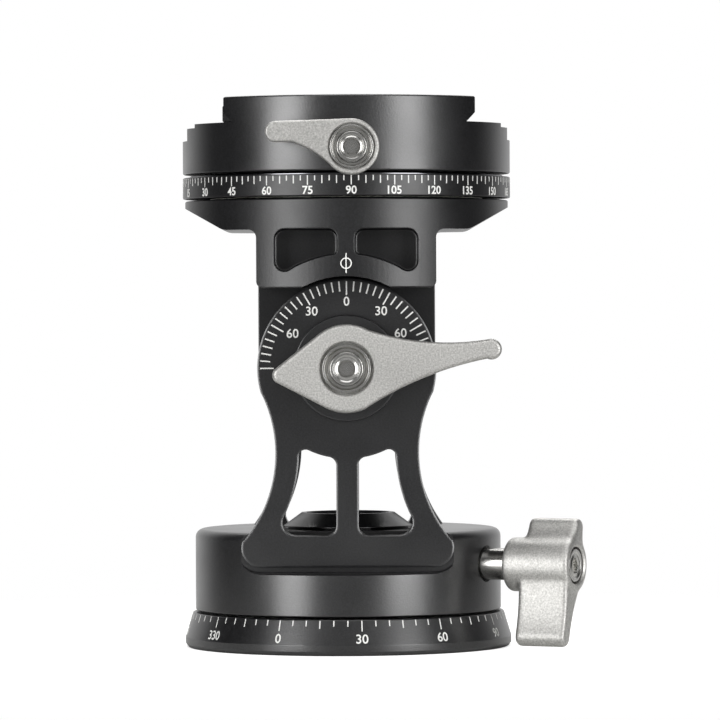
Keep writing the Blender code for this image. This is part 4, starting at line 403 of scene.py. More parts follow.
def combined(solid, tool, operation):
    """Cut or join two bmeshes with an exact Boolean, and give the result as a new one."""
    things = []
    for bm in (solid, tool):
        bmesh.ops.remove_doubles(bm, verts=bm.verts, dist=WELD / 2)
        bmesh.ops.recalc_face_normals(bm, faces=bm.faces)
        mesh = bpy.data.meshes.new("blank")
        bm.to_mesh(mesh)
        bm.free()
        things.append(bpy.data.objects.new("blank", mesh))
        bpy.context.collection.objects.link(things[-1])
    modifier = things[0].modifiers.new("combine", "BOOLEAN")
    modifier.operation, modifier.solver, modifier.object = operation, "EXACT", things[1]
    result = bmesh.new()
    result.from_object(things[0], bpy.context.evaluated_depsgraph_get())
    for thing in things:
        bpy.data.meshes.remove(thing.data)
    return result


def cut(solid, tool):
    """The solid with the tool cut out of it."""
    return combined(solid, tool, "DIFFERENCE")


def joined(solid, tool):
    """The solid and the tool as one."""
    return combined(solid, tool, "UNION")


def add_piece(name, bm, place, finish, body, node=None, sharp=35):
    """Finish a piece: its place, its scale in metres, its shading, its finish and what it rides on."""
    bmesh.ops.remove_doubles(bm, verts=bm.verts, dist=WELD)
    bmesh.ops.recalc_face_normals(bm, faces=bm.faces)
    moved(bm, Matrix.Scale(MM, 4) @ place)
    mesh = bpy.data.meshes.new(name)
    bm.to_mesh(mesh)
    bm.free()
    mesh.shade_smooth()
    mesh.set_sharp_from_angle(angle=math.radians(sharp))
    mesh.materials.append(finish)
    piece = bpy.data.objects.new(name, mesh)
    bpy.context.collection.objects.link(piece)
    weighted = piece.modifiers.new("even_shading", "WEIGHTED_NORMAL")
    weighted.keep_sharp = True
    if node:
        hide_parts(node)
    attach(piece, body)
    print(name, len(mesh.polygons), "faces, rides on", body)
    return piece


def hexagon(flats):
    """Outline of a hexagon by its width over flats."""
    return [polar((0, 0), flats / math.sqrt(3), math.tau * i / 6) for i in range(6)]


def key_socket(flats, low, high):
    """The tool for a hexagon socket."""
    return stack([(hexagon(flats), low), (hexagon(flats), high)])


def add_box(bm, place, size):
    """Add a box to a solid, in its place."""
    bmesh.ops.create_cube(bm, size=1, matrix=place @ Matrix.Diagonal((*size, 1)))


def merge(target, bm):
    """Add a solid to another without a Boolean."""
    mesh = bpy.data.meshes.new("part_of_piece")
    bm.to_mesh(mesh)
    bm.free()
    target.from_mesh(mesh)
    bpy.data.meshes.remove(mesh)


print("tools reach", BEYOND, "mm past the metal")


# %% [markdown]
# ## Base ring
# The base is one turned ring with a sloped skirt that carries the lower pan scale, a flat deck, and the post that the
# drum turns on. A lathe makes it, so a spun profile is the honest way. The rim of the skirt is rounded more than the
# other edges, and that gives the bright line just over the table.

# %% Base ring and tripod thread
BASE_RADIUS, BASE_TOP_RADIUS = 29.9, 28.5
SKIRT_LOW, SKIRT_HIGH = 1.9, 6.4
POST_RADIUS, POST_NECK, POST_SHOULDER, POST_TOP = 9.0, 6.0, 17.7, 21.0
INSERT_RADIUS, INSERT_BORE, INSERT_LENGTH = 6.4, 4.76, 9.7
EDGE, GAP = 0.25, 0.3

base_profile = [
    (INSERT_RADIUS + GAP, 0), (BASE_RADIUS - 0.5, 0), (BASE_RADIUS, 0.7), (BASE_RADIUS, SKIRT_LOW),
    (BASE_TOP_RADIUS, SKIRT_HIGH), (POST_RADIUS, SKIRT_HIGH), (POST_RADIUS, POST_SHOULDER),
    (POST_NECK, POST_SHOULDER), (POST_NECK, POST_TOP), (0, POST_TOP), (0, INSERT_LENGTH + 2 * GAP),
    (INSERT_RADIUS + GAP, INSERT_LENGTH + 2 * GAP),
]
add_piece(
    "base_ring", spin_profile(soften(base_profile, EDGE), LARGE), UPRIGHT, black_aluminium, "base", "base_plate",
)

INSERT_LOW, THREAD_LOW, THREAD_PITCH, THREAD_DEPTH = 0.3, 0.5, 1.588, 0.6
thread_profile = [(INSERT_RADIUS, INSERT_LOW), (INSERT_RADIUS, INSERT_LOW + INSERT_LENGTH)]
for i in reversed(range(int(INSERT_LENGTH / THREAD_PITCH))):
    height = THREAD_LOW + i * THREAD_PITCH
    thread_profile += [
        (INSERT_BORE, height + THREAD_PITCH * 0.75), (INSERT_BORE + THREAD_DEPTH, height + THREAD_PITCH * 0.35),
    ]
thread_profile.append((INSERT_BORE + THREAD_DEPTH / 2, INSERT_LOW))
thread = spin_profile(thread_profile, SMALL)
slot_tool = bmesh.new()
add_box(slot_tool, Matrix.Translation((0, 0, 0.2)), (16, 1.2, 1.6))
add_piece(
    "tripod_thread_insert", cut(thread, slot_tool), UPRIGHT, steel_upright, "base", "tripod_insert"
)

# %% [markdown]
# ## Yoke
# The drum and both cheeks are milled from one billet. The waisted outline of the cheeks comes first, because the drum
# is milled flat round their feet, a little wider than the outline. Then the cheeks are joined to the drum, and last
# the windows, the bolt hole and the bore of the pan lock are cut. The rims of cheeks and windows are a shallow
# chamfer, which shows as a thin bright line just inside each edge.
#
# The cheeks could be drawn by hand as a mesh, but their outline is made of plain arcs, so it is worked out from the
# same few sizes that a drawing of the part would give.

# %% Cheeks
CHEEK_RADIUS, CHEEK_INNER, CHEEK_FACE = 16.1, 15.2, 21.3
CHEEK_EDGE, CHEEK_EDGE_DEPTH = 0.5, 0.22
FOOT_CENTRE, FOOT_RADIUS = (15.6, 18.9), 3.5
WAIST, WAIST_HEIGHT, WAIST_RADIUS = 12.92, 36.0, 24.5
FLANK_LOW, FLANK_HIGH = 20.4, 46.9

disc_start = math.asin((FLANK_HIGH - PIVOT_HEIGHT) / CHEEK_RADIUS)
flank_end = math.pi - math.asin((FLANK_HIGH - WAIST_HEIGHT) / WAIST_RADIUS)
flank_start = math.pi + math.asin((WAIST_HEIGHT - FLANK_LOW) / WAIST_RADIUS)
right_side = arc(FOOT_CENTRE, FOOT_RADIUS, -math.pi / 2, math.radians(20), 10)
right_side += arc((WAIST + WAIST_RADIUS, WAIST_HEIGHT), WAIST_RADIUS, flank_start, flank_end, 28)[:-1]
right_side += arc((0, PIVOT_HEIGHT), CHEEK_RADIUS, disc_start, math.pi / 2, 40)
cheek_outline = right_side + mirrored(right_side[:-1])
cheek_levels = rounded_levels(cheek_outline, CHEEK_INNER, CHEEK_FACE - CHEEK_EDGE_DEPTH, 0.2)
cheek_levels.append((widened(cheek_outline, -CHEEK_EDGE), CHEEK_FACE))
cheeks = bmesh.new()
add_both_ways(cheeks, cheek_levels)
print("cheek outline:", len(cheek_outline), "corners")

# %% Drum
DRUM_RADIUS, DRUM_LOW, DRUM_HIGH, DRUM_FILLET = 28.0, 6.8, 21.6, 1.5
COUNTERBORE, LEDGE = 11.2, 17.9
FLAT_DEPTH, FLAT_MARGIN = 20.5, 1.15

drum_profile = soften([
    (POST_RADIUS + 0.1, DRUM_LOW), (11.7, DRUM_LOW), (11.7, 8.2), (24.3, 8.2), (24.3, DRUM_LOW),
    (DRUM_RADIUS, DRUM_LOW), (DRUM_RADIUS, DRUM_HIGH), (COUNTERBORE, DRUM_HIGH), (COUNTERBORE, LEDGE),
    (POST_RADIUS + 0.1, LEDGE),
], EDGE)
fillet = arc((DRUM_RADIUS - DRUM_FILLET, DRUM_HIGH - DRUM_FILLET), DRUM_FILLET, 0, math.pi / 2, 8)
corner = [i for i, point in enumerate(drum_profile) if point[0] > DRUM_RADIUS - 0.3 and point[1] > DRUM_HIGH - 0.3]
drum_profile[corner[0]:corner[-1] + 1] = fillet
drum = spin_profile(drum_profile, LARGE)

near_foot, round_foot = widened(cheek_outline, FLAT_MARGIN - 0.3), widened(cheek_outline, FLAT_MARGIN)
flats = bmesh.new()
add_both_ways(flats, [(near_foot, FLAT_DEPTH), (round_foot, FLAT_DEPTH + 0.3), (round_foot, DRUM_RADIUS + 4)])
drum = cut(drum, moved(flats, FRONT))
drum = joined(drum, moved(cheeks, FRONT))
print("drum and cheeks:", len(drum.faces), "faces")

# %% Windows, bolt hole and lock bore
RIB, WINDOW_TOP_RADIUS, WINDOW_BOTTOM = 2.0, 16.3, 21.0
WINDOW_FLANK, WINDOW_FLANK_RADIUS = 8.75, 26.0
BOLT_RADIUS = 4.0

window_centre = (WINDOW_FLANK + WINDOW_FLANK_RADIUS, WAIST_HEIGHT)


def window_flank_angle(height):
    """Where the outer flank of a window is at a height."""
    return math.pi - math.asin((height - WAIST_HEIGHT) / WINDOW_FLANK_RADIUS)


top_arc = arc(
    (0, PIVOT_HEIGHT), WINDOW_TOP_RADIUS, -math.acos(WINDOW_FLANK / WINDOW_TOP_RADIUS),
    -math.acos(RIB / WINDOW_TOP_RADIUS), 12,
)
low_outer = polar(window_centre, WINDOW_FLANK_RADIUS, window_flank_angle(WINDOW_BOTTOM))
low_inner = (RIB, low_outer[1])
flank = arc(
    window_centre, WINDOW_FLANK_RADIUS, window_flank_angle(WINDOW_BOTTOM + 4.2),
    window_flank_angle(top_arc[0][1] - 2.6), 20,
)
window = round_corner(top_arc[-1], low_inner, low_outer, 1.8)
window += round_corner(low_inner, low_outer, flank[0], 2.4)
window += flank
window += round_corner(flank[-1], top_arc[0], top_arc[4], 1.3)
window += top_arc[4:-3]
window += round_corner(top_arc[-4], top_arc[-1], low_inner, 1.5)

windows = bmesh.new()
for outline in (window, mirrored(window)):
    wide = widened(outline, CHEEK_EDGE)
    add_both_ways(windows, [
        (outline, 14.0), (outline, CHEEK_FACE - CHEEK_EDGE_DEPTH), (wide, CHEEK_FACE), (wide, CHEEK_FACE + 2),
    ])
for side in (1, -1):
    bolt_hole = [(0, 10), (BOLT_RADIUS + GAP, 10), (BOLT_RADIUS + GAP, 30), (0, 30)]
    add_spin(windows, [(radius, side * along) for radius, along in bolt_hole], SMALL, (0, PIVOT_HEIGHT))
moved(windows, FRONT)

SLEEVE_RADIUS, SLEEVE_START, SLEEVE_END = 2.9, 24.5, 33.4
STUD_BORE, LOCK_BORE, LOCK_RIM, LOCK_GROOVE = 2.3, 3.3, 3.9, 0.7
lock_bore = [(0, 0), (STUD_BORE, 0), (STUD_BORE, SLEEVE_START - GAP), (LOCK_BORE, SLEEVE_START - GAP)]
for i in range(6):
    along = SLEEVE_START + GAP + i * LOCK_GROOVE
    lock_bore += [(LOCK_BORE + 0.3, along), (LOCK_BORE, along + LOCK_GROOVE / 2)]
lock_bore += [(LOCK_RIM, DRUM_RADIUS + 0.5), (LOCK_RIM, DRUM_RADIUS + 2), (0, DRUM_RADIUS + 2)]
yoke = cut(drum, windows)
yoke = cut(yoke, moved(spin_profile(lock_bore, SMALL), AT_PAN_LOCK))
add_piece("yoke_milled", yoke, UPRIGHT, black_aluminium, "pan_yoke", "yoke")

# %% [markdown]
# ## Hub cap
# A low turned cap covers the bearing between the cheeks. Its sloped side and its bright rim show through the windows.
# It is screwed in with a hexagon key, so its dished top has a wide socket, which a Boolean cuts from a hexagon.

# %% Hub cap
CAP_TOP = 24.5
cap_profile = soften([
    (8.0, 21.1), (10.9, 21.1), (10.9, 21.9), (11.75, 21.9), (11.75, 22.15), (8.5, CAP_TOP), (7.7, CAP_TOP),
    (7.4, CAP_TOP - 0.6), (0, CAP_TOP - 0.6), (0, 22.2), (8.0, 22.2),
], 0.15)
cap = cut(spin_profile(cap_profile, MEDIUM), key_socket(8.0, CAP_TOP - 1.5, CAP_TOP + 1.5))
add_piece("hub_cap_turned", cap, UPRIGHT, black_aluminium, "pan_yoke", "hub_cap")

# %% [markdown]
# ## Tilt bolt
# The bolt runs through both cheeks. Its wide head with a hexagon socket sits behind the rear cheek, and its shank is
# covered by the block and the lever.

# %% Tilt bolt
BOLT_HEAD, BOLT_BACK, BOLT_SEAT, BOLT_END = 8.5, -24.1, 21.6, 26.3
bolt_profile = soften([
    (0, BOLT_BACK), (BOLT_HEAD, BOLT_BACK), (BOLT_HEAD, -BOLT_SEAT), (BOLT_RADIUS, -BOLT_SEAT),
    (BOLT_RADIUS, BOLT_END), (0, BOLT_END),
], 0.5)
bolt = cut(spin_profile(bolt_profile, MEDIUM), key_socket(5.0, BOLT_BACK - 2, BOLT_BACK + 1.6))
add_piece("tilt_bolt_turned", bolt, AT_PIVOT, black_steel_tilt, "pan_yoke", "tilt_bolt")

# %% [markdown]
# ## Wing knob of the pan lock
# The knob is one silver piece: a round hub with two arms that lean off the upright. On the real knob the arms flow
# into the hub. A Boolean alone leaves a hard inner corner there, so the joined solid is remeshed in small voxels and
# smoothed, and only then is the crisp pocket of its screw cut in. The wing is stacked from outlines that grow out of
# the hub, which gives its back the soft slope seen from the side.

# %% Wing knob
HUB_RADIUS, HUB_START, WING_START, KNOB_END = 4.9, 32.9, 35.9, 45.9
KNOB_LEAN = math.radians(90 - 18)
TIP_RADIUS, ARM_WAIST, ROOT_ANGLE = 1.75, 2.0, math.radians(42)
VOXEL, SMOOTHINGS, SCREW_POCKET = 0.2, 14, 43.1


def wing_outline():
    """Two rounded arms that lean off the upright, joined by the round hub."""
    along = Vector(polar((0, 0), 1, KNOB_LEAN))
    across = Vector((along.y, -along.x))
    outline = []
    for way, reach, waist in ((1, 7.0, 5.8), (-1, 13.4, 8.5)):
        forward, sideways = along * way, across * way
        root, spread = forward * HUB_RADIUS * math.cos(ROOT_ANGLE), sideways * HUB_RADIUS * math.sin(ROOT_ANGLE)
        tip, edge, narrow = forward * reach, sideways * TIP_RADIUS, sideways * ARM_WAIST
        outline += arc_through(root + spread, forward * waist + narrow, tip + edge, 10)[:-1]
        start = math.atan2(edge.y, edge.x)
        outline += arc(tip, TIP_RADIUS, start, start + math.pi, 14)
        outline += arc_through(tip - edge, forward * waist - narrow, root - spread, 10)[1:]
    return outline


hub = spin_profile(
    soften([(0, HUB_START), (HUB_RADIUS, HUB_START), (HUB_RADIUS, KNOB_END), (0, KNOB_END)], 0.7, 5), MEDIUM
)
wing = stack(rounded_levels(wing_outline(), WING_START, KNOB_END - 0.25, 0.9, 0.7, 5))
knob_blank = bpy.data.meshes.new("knob_blank")
knob = joined(hub, wing)
knob.to_mesh(knob_blank)
knob.free()
knob_thing = bpy.data.objects.new("knob_blank", knob_blank)
bpy.context.collection.objects.link(knob_thing)
remesh = knob_thing.modifiers.new("voxels", "REMESH")
remesh.mode, remesh.voxel_size = "VOXEL", VOXEL
knob = bmesh.new()
knob.from_object(knob_thing, bpy.context.evaluated_depsgraph_get())
bpy.data.meshes.remove(knob_blank)
for _ in range(SMOOTHINGS):
    bmesh.ops.smooth_vert(
        knob, verts=knob.verts, factor=0.5, use_axis_x=True, use_axis_y=True, use_axis_z=True
    )
print("knob after remeshing:", len(knob.faces), "faces")
pocket = [
    (0, HUB_START - 2), (STUD_BORE, HUB_START - 2), (STUD_BORE, SCREW_POCKET), (3.3, SCREW_POCKET),
    (3.4, SCREW_POCKET + 0.1), (3.4, KNOB_END - 0.3), (3.7, KNOB_END), (3.7, KNOB_END + 1), (0, KNOB_END + 1),
]
knob = cut(knob, spin_profile(pocket, MEDIUM))
add_piece(
    "pan_wing_knob", knob, AT_PAN_LOCK, silver_aluminium, "pan_lock_knob", "pan_knob", sharp=40
)

# %% [markdown]
# ## Socket screws, washers and the stud
# The levers and the knob are each held by a small cap screw. Its head is turned with a raised ring round a flat face,
# and a hexagon is broached into it. One helper makes them all from the sizes of the head and the shank.

# %% Screws


def socket_screw(seat, head_radius, head, shank_radius, shank, flats, depth=1.0):
    """A cap screw that stands on its seat, with a ring on its face and a hexagon socket."""
    top = seat + head
    ring = head_radius * 0.82
    profile = soften([
        (0, seat - shank), (shank_radius, seat - shank), (shank_radius, seat), (head_radius, seat), (head_radius, top),
        (ring, top), (ring - 0.25, top - 0.2), (flats / 2 + 0.75, top - 0.2), (flats / 2 + 0.35, top - 0.05),
        (0, top - 0.05),
    ], 0.12)
    tool = stack([(hexagon(flats), top - depth), (hexagon(flats), top - 0.25), (hexagon(flats + 0.5), top + 0.1),
                  (hexagon(flats + 0.5), top + 1)])
    return cut(spin_profile(profile, SMALL), tool)


def dished_washer(inner, outer, start):
    """A washer whose face falls from its rim towards the screw."""
    return spin_profile(soften([
        (inner, start), (outer, start), (outer, start + 0.8), (outer - 0.4, start + 0.8), (inner + 0.5, start + 0.35),
        (inner, start + 0.35),
    ], 0.1), MEDIUM)


sleeve_profile = soften([
    (0, 13.3), (2.0, 13.3), (2.0, SLEEVE_START), (SLEEVE_RADIUS, SLEEVE_START), (SLEEVE_RADIUS, SLEEVE_END),
    (2.0, SLEEVE_END), (2.0, 41.0), (0, 41.0),
], 0.2)
add_piece(
    "pan_knob_sleeve", spin_profile(sleeve_profile, MEDIUM), AT_PAN_LOCK, steel_lock, "pan_lock_knob", "pan_knob_stud",
)
add_piece(
    "pan_knob_cap_screw", socket_screw(SCREW_POCKET + GAP, 2.97, 2.2, 1.5, 3.2, 2.5), AT_PAN_LOCK, steel_lock,
    "pan_lock_knob", "pan_knob_screw",
)

# %% [markdown]
# ## Tilt lever
# The lever is milled from plate: an arm that sweeps to the right, a short tail, and a round hub with a recess for the
# dished washer. Its rim is broken by a wide rounded edge, which catches the light along the whole outline. The back of
# the arm is relieved, because the wall of the tilt block passes behind it. A black thrust disc keeps the hub off the
# cheek.

# %% Tilt lever
LEVER_BACK, LEVER_FACE, LEVER_HUB = 27.3, 31.8, 7.9
ARM_TIP, ARM_TIP_RADIUS = (25.75, 3.35), 1.85
TAIL_TIP, TAIL_TIP_RADIUS = (-11.7, -1.1), 1.5
LEVER_RECESS, LEVER_RECESS_DEPTH, GROOVE_START, GROOVE = 4.8, 1.7, 4.15, 0.4
RELIEF_RADIUS, RELIEF = 16.2, 29.8


def lever_outline():
    """Hub with a long arm to the right and a short tapered tail to the left."""
    way = math.atan2(TAIL_TIP[1], TAIL_TIP[0]) + math.tau
    spread = math.acos((LEVER_HUB - TAIL_TIP_RADIUS) / math.hypot(*TAIL_TIP))
    hub_top, hub_bottom = math.radians(61), math.radians(-65.7) + math.tau
    tip = arc(ARM_TIP, ARM_TIP_RADIUS, math.radians(-114), math.radians(94), 24)
    outline = tip + arc_through(tip[-1], (14.7, 4.7), polar((0, 0), LEVER_HUB, hub_top), 28)[1:]
    outline += arc((0, 0), LEVER_HUB, hub_top, way - spread, 20)[1:]
    outline += arc(TAIL_TIP, TAIL_TIP_RADIUS, way - spread, way + spread, 14)
    outline += arc((0, 0), LEVER_HUB, way + spread, hub_bottom, 16)
    outline += arc_through(polar((0, 0), LEVER_HUB, hub_bottom), (14.7, -1.3), tip[0], 28)[1:-1]
    return outline


lever = stack(rounded_levels(lever_outline(), LEVER_BACK, LEVER_FACE, 0.4, 0.75, 5))
collar = spin_profile(soften([(0, 23.4), (7.4, 23.4), (7.4, 29.0), (0, 29.0)], 0.3), MEDIUM)
recess_floor = LEVER_FACE - LEVER_RECESS_DEPTH
lever_bore = [
    (0, 22), (5.5, 22), (5.5, recess_floor - 0.8), (1.8, recess_floor - 0.8), (1.8, recess_floor),
    (GROOVE_START, recess_floor), (GROOVE_START, recess_floor - GROOVE), (LEVER_RECESS, recess_floor - GROOVE),
    (LEVER_RECESS, LEVER_FACE - 0.2), (LEVER_RECESS + 0.2, LEVER_FACE), (LEVER_RECESS + 0.2, LEVER_FACE + 2),
    (0, LEVER_FACE + 2),
]
lever = cut(joined(lever, collar), spin_profile(lever_bore, MEDIUM))
relief = spin_profile(
    soften([(RELIEF_RADIUS, 20), (BEYOND, 20), (BEYOND, RELIEF), (RELIEF_RADIUS, RELIEF)], 0.25), MEDIUM
)
lever = cut(lever, relief)
add_piece(
    "tilt_lock_lever_milled", lever, AT_PIVOT, silver_aluminium, "tilt_lock_lever", "tilt_lever"
)
add_piece(
    "tilt_lever_dished_washer", dished_washer(3.06, 4.3, recess_floor + GAP), AT_PIVOT, steel_tilt, "tilt_lock_lever",
    "tilt_lever_washer",
)
add_piece(
    "tilt_lever_cap_screw", socket_screw(recess_floor + GAP, 2.95, 1.5, 1.5, 2.9, 2.5), AT_PIVOT, steel_tilt,
    "tilt_lock_lever", "tilt_lever_screw",
)
boss_profile = soften([(BOLT_RADIUS + 0.1, 21.6), (9.55, 21.6), (9.55, 23.1), (BOLT_RADIUS + 0.1, 23.1)], 0.3)
add_piece(
    "tilt_thrust_disc", spin_profile(boss_profile, MEDIUM), AT_PIVOT, black_aluminium, "tilt_press", "tilt_boss",
)

# %% [markdown]
# ## Tilt block
# The block carries everything above the yoke. It is a slice of round bar: its front and back keep the turned wall of
# the bar, and its sides are milled to a stepped outline, so the slope under the disc is flat and shows only edge on.
# A round notch clears the cheeks, a tongue hangs between them, and two blind pockets on each face save weight. Each
# cut is a solid of its own, so the order of the cuts follows the order in a workshop.

# %% Tilt block
BLOCK_LOW, BLOCK_SHOULDER, SLOPE_END, BLOCK_HIGH = 65.6, 76.1, 80.3, 81.58
BLOCK_RADIUS, BLOCK_HALF, SLOPE_START, NOTCH_RADIUS = 29.6, 16.1, 22.2, 16.5
TONGUE_HALF, TONGUE_DEPTH, TONGUE_TOP = 16.0, 13.8, 70.0

block = spin_profile(
    soften([(0, BLOCK_LOW), (BLOCK_RADIUS, BLOCK_LOW), (BLOCK_RADIUS, BLOCK_HIGH), (0, BLOCK_HIGH)], 0.3), LARGE
)
corners = [
    (0, BLOCK_LOW), (BLOCK_HALF, BLOCK_LOW), (BLOCK_HALF, BLOCK_SHOULDER), (SLOPE_START, BLOCK_SHOULDER),
    (BLOCK_RADIUS, SLOPE_END),
]
side_cut = []
for i, radius in ((1, 1.2), (2, 1.5), (3, 3.0)):
    side_cut += round_corner(corners[i - 1], corners[i], corners[i + 1], radius)
slope = Vector(corners[4]) - Vector(corners[3])
side_cut += [tuple(Vector(corners[4]) + slope), (38, BLOCK_LOW - 1), (side_cut[0][0], BLOCK_LOW - 1)]
sides = bmesh.new()
for outline in (side_cut, mirrored(side_cut)):
    add_stack(sides, [(outline, -BEYOND), (outline, BEYOND)])
block = cut(block, moved(sides, FRONT))
notch = spin_profile([(0, -BEYOND), (NOTCH_RADIUS, -BEYOND), (NOTCH_RADIUS, BEYOND), (0, BEYOND)], LARGE)
block = cut(block, moved(notch, AT_PIVOT))

tongue_outline = [(TONGUE_HALF, TONGUE_TOP), (-TONGUE_HALF, TONGUE_TOP)]
tongue_outline += arc((0, PIVOT_HEIGHT), TONGUE_HALF, math.pi, math.tau, 80)
tongue = stack(rounded_levels(tongue_outline, -TONGUE_DEPTH, TONGUE_DEPTH, 0.25, 0.25, 2))
block = joined(block, moved(tongue, FRONT))
print("block:", len(block.faces), "faces")

# %% Pockets
POCKET_FLOOR, POCKET_OUTER, POCKET_INNER, POCKET_TOP, POCKET_ARC = 22.5, 12.85, 1.6, 76.1, 20.4
POCKET_EDGE, TOP_LOCK_HEIGHT, BUSH_BORE = 0.25, 77.6, 6.0
BEHIND_TOP = Matrix.Translation((0, 0, TOP_LOCK_HEIGHT)) @ Matrix.Rotation(math.pi, 4, "Z") @ FRONT

pocket_start, pocket_end = math.acos(POCKET_OUTER / POCKET_ARC), math.acos(POCKET_INNER / POCKET_ARC)
low_arc = arc((0, PIVOT_HEIGHT), POCKET_ARC, pocket_start, pocket_end, 24)
top_outer, top_inner = (POCKET_OUTER, POCKET_TOP), (POCKET_INNER, POCKET_TOP)
pocket_shape = round_corner(top_outer, low_arc[0], low_arc[8], 1.8)
pocket_shape += low_arc[8:-3]
pocket_shape += round_corner(low_arc[-4], low_arc[-1], top_inner, 1.0)
pocket_shape += round_corner(low_arc[-1], top_inner, top_outer, 1.6)
pocket_shape += round_corner(top_inner, top_outer, low_arc[0], 1.8)
pockets = bmesh.new()
for outline in (pocket_shape, mirrored(pocket_shape)):
    levels = [(widened(outline, -0.5), POCKET_FLOOR), (widened(outline, -0.15), POCKET_FLOOR + 0.15)]
    add_both_ways(pockets, levels + flared_levels(outline, POCKET_FLOOR + 0.5, BLOCK_RADIUS, POCKET_EDGE))
for vert in pockets.verts:
    if abs(vert.co.z) > POCKET_FLOOR + 1:
        vert.co.z = math.copysign(math.sqrt(vert.co.z ** 2 - vert.co.x ** 2), vert.co.z)
block = cut(block, moved(pockets, FRONT))
bush_bore = spin_profile([(0, -16), (BUSH_BORE, -16), (BUSH_BORE, 16), (0, 16)], MEDIUM)
block = cut(block, moved(bush_bore, AT_PIVOT))
lock_hole = spin_profile([(0, 8), (1.8, 8), (1.8, 28.6), (2.7, 28.6), (2.7, 32), (0, 32)], SMALL)
block = cut(block, moved(lock_hole, BEHIND_TOP))
add_piece("tilt_block_milled", block, UPRIGHT, matt_aluminium, "tilt_head", "tilt_block")

# %% [markdown]
# ## Thumb screw of the upper pan lock
# At the back a knurled thumb screw locks the upper pan. Knurling is pressed in as fine grooves, here 0.5 mm apart. A
# star shaped outline is stacked along the head, which costs far less than cutting each groove.

# %% Thumb screw
THUMB_RADIUS, THUMB_START, THUMB_END = 3.75, 30.5, 36.0
GROOVES, GROOVE_DEPTH, THUMB_CHAMFER = 44, 0.22, 0.4


def grip_outline(radius, depth):
    """A circle with fine grooves."""
    return [
        polar((0, 0), radius - (depth if i % 4 in (2, 3) else 0.0), math.tau * i / (4 * GROOVES))
        for i in range(4 * GROOVES)
    ]


grip, rim = grip_outline(THUMB_RADIUS, GROOVE_DEPTH), grip_outline(THUMB_RADIUS - THUMB_CHAMFER, 0.0)
thumb = stack([
    (rim, THUMB_START), (grip, THUMB_START + THUMB_CHAMFER), (grip, THUMB_END - THUMB_CHAMFER), (rim, THUMB_END),
])
shank = spin_profile(
    soften([(0, 15.2), (1.5, 15.2), (1.5, 29.0), (2.4, 29.0), (2.4, THUMB_START + 0.5), (0, THUMB_START + 0.5)], 0.15),
    SMALL,
)
add_piece(
    "upper_lock_thumb_screw", joined(thumb, shank), BEHIND_TOP, silver_aluminium, "top_lock_knob", "top_lock_screw",
    sharp=20,
)

# %% [markdown]
# ## Dial ring and dovetail clamp
# Above the block the dial ring turns with the clamp. The clamp is a disc with a dovetail channel milled across it, a
# fixed jaw at the front and a sliding jaw at the back. The whole top stands turned by two degrees in the photograph,
# so its pieces are modelled square and turned at the end.

# %% Dial ring
DISC_RADIUS, DIAL_LOW, DIAL_HIGH = 30.0, 81.98, 85.85
CLAMP_LOW, FLOOR_HEIGHT, JAW_TOP = 86.45, 95.4, 100.0
SHIM_INNER, SHIM_OUTER = 24.0, 28.7

dial_profile = soften([
    (4.3, 74.0), (12.0, 74.0), (12.0, DIAL_LOW), (14.7, DIAL_LOW), (14.7, 83.18), (25.3, 83.18), (25.3, DIAL_LOW),
    (DISC_RADIUS, DIAL_LOW), (DISC_RADIUS, DIAL_HIGH), (29.0, DIAL_HIGH), (29.0, 85.05), (23.7, 85.05),
    (23.7, DIAL_HIGH), (8.0, DIAL_HIGH), (8.0, 83.5), (4.3, 83.5),
], 0.22)
add_piece(
    "dial_ring_turned", spin_profile(dial_profile, LARGE), TURNED_TOP, matt_aluminium, "top_pan", "dial_ring",
)
# The shim's darker steel is painted shade for the gap that it sits in.
shim_profile = [(SHIM_INNER, 85.35), (SHIM_OUTER, 85.35), (SHIM_OUTER, 86.15), (SHIM_INNER, 86.15)]
add_piece(
    "clamp_shim_ring", spin_profile(soften(shim_profile, 0.15), LARGE), TURNED_TOP, shim_steel_painted_shade, "top_pan",
    "clamp_shim",
)

# %% Clamp body
LIP, LIP_LENGTH, UNDERCUT = 19.7, 2.9, 1.7
RECESS_DEPTH, RECESS_FLOOR, BODY_REAR = 11.3, 94.7, 15.2
NOTCH_CENTRE, SCREW_PLACE, SCREW_SEAT = 31.1, 10.5, 91.2


def clamp_disc(edge):
    """The full disc that both jaws are cut from."""
    return spin_profile(
        soften([(0, CLAMP_LOW), (DISC_RADIUS, CLAMP_LOW), (DISC_RADIUS, JAW_TOP), (0, JAW_TOP)], edge, 4), LARGE
    )


def break_upper_edges(bm):
    """Round the long sharp edges over the floor of the channel."""
    bmesh.ops.remove_doubles(bm, verts=bm.verts, dist=WELD)
    bmesh.ops.dissolve_limit(bm, angle_limit=math.radians(0.3), verts=bm.verts, edges=bm.edges)
    picked = [
        edge for edge in bm.edges
        if len(edge.link_faces) == 2 and edge.calc_face_angle(0) > math.radians(30)
        and all(vert.co.z > RECESS_FLOOR + 0.1 for vert in edge.verts) and edge.calc_length() > 3
    ]
    bmesh.ops.bevel(
        bm, geom=picked, offset=0.18, affect="EDGES", segments=2, profile=0.5, material=-1, clamp_overlap=True
    )
    print("edges broken:", len(picked))
    return bm


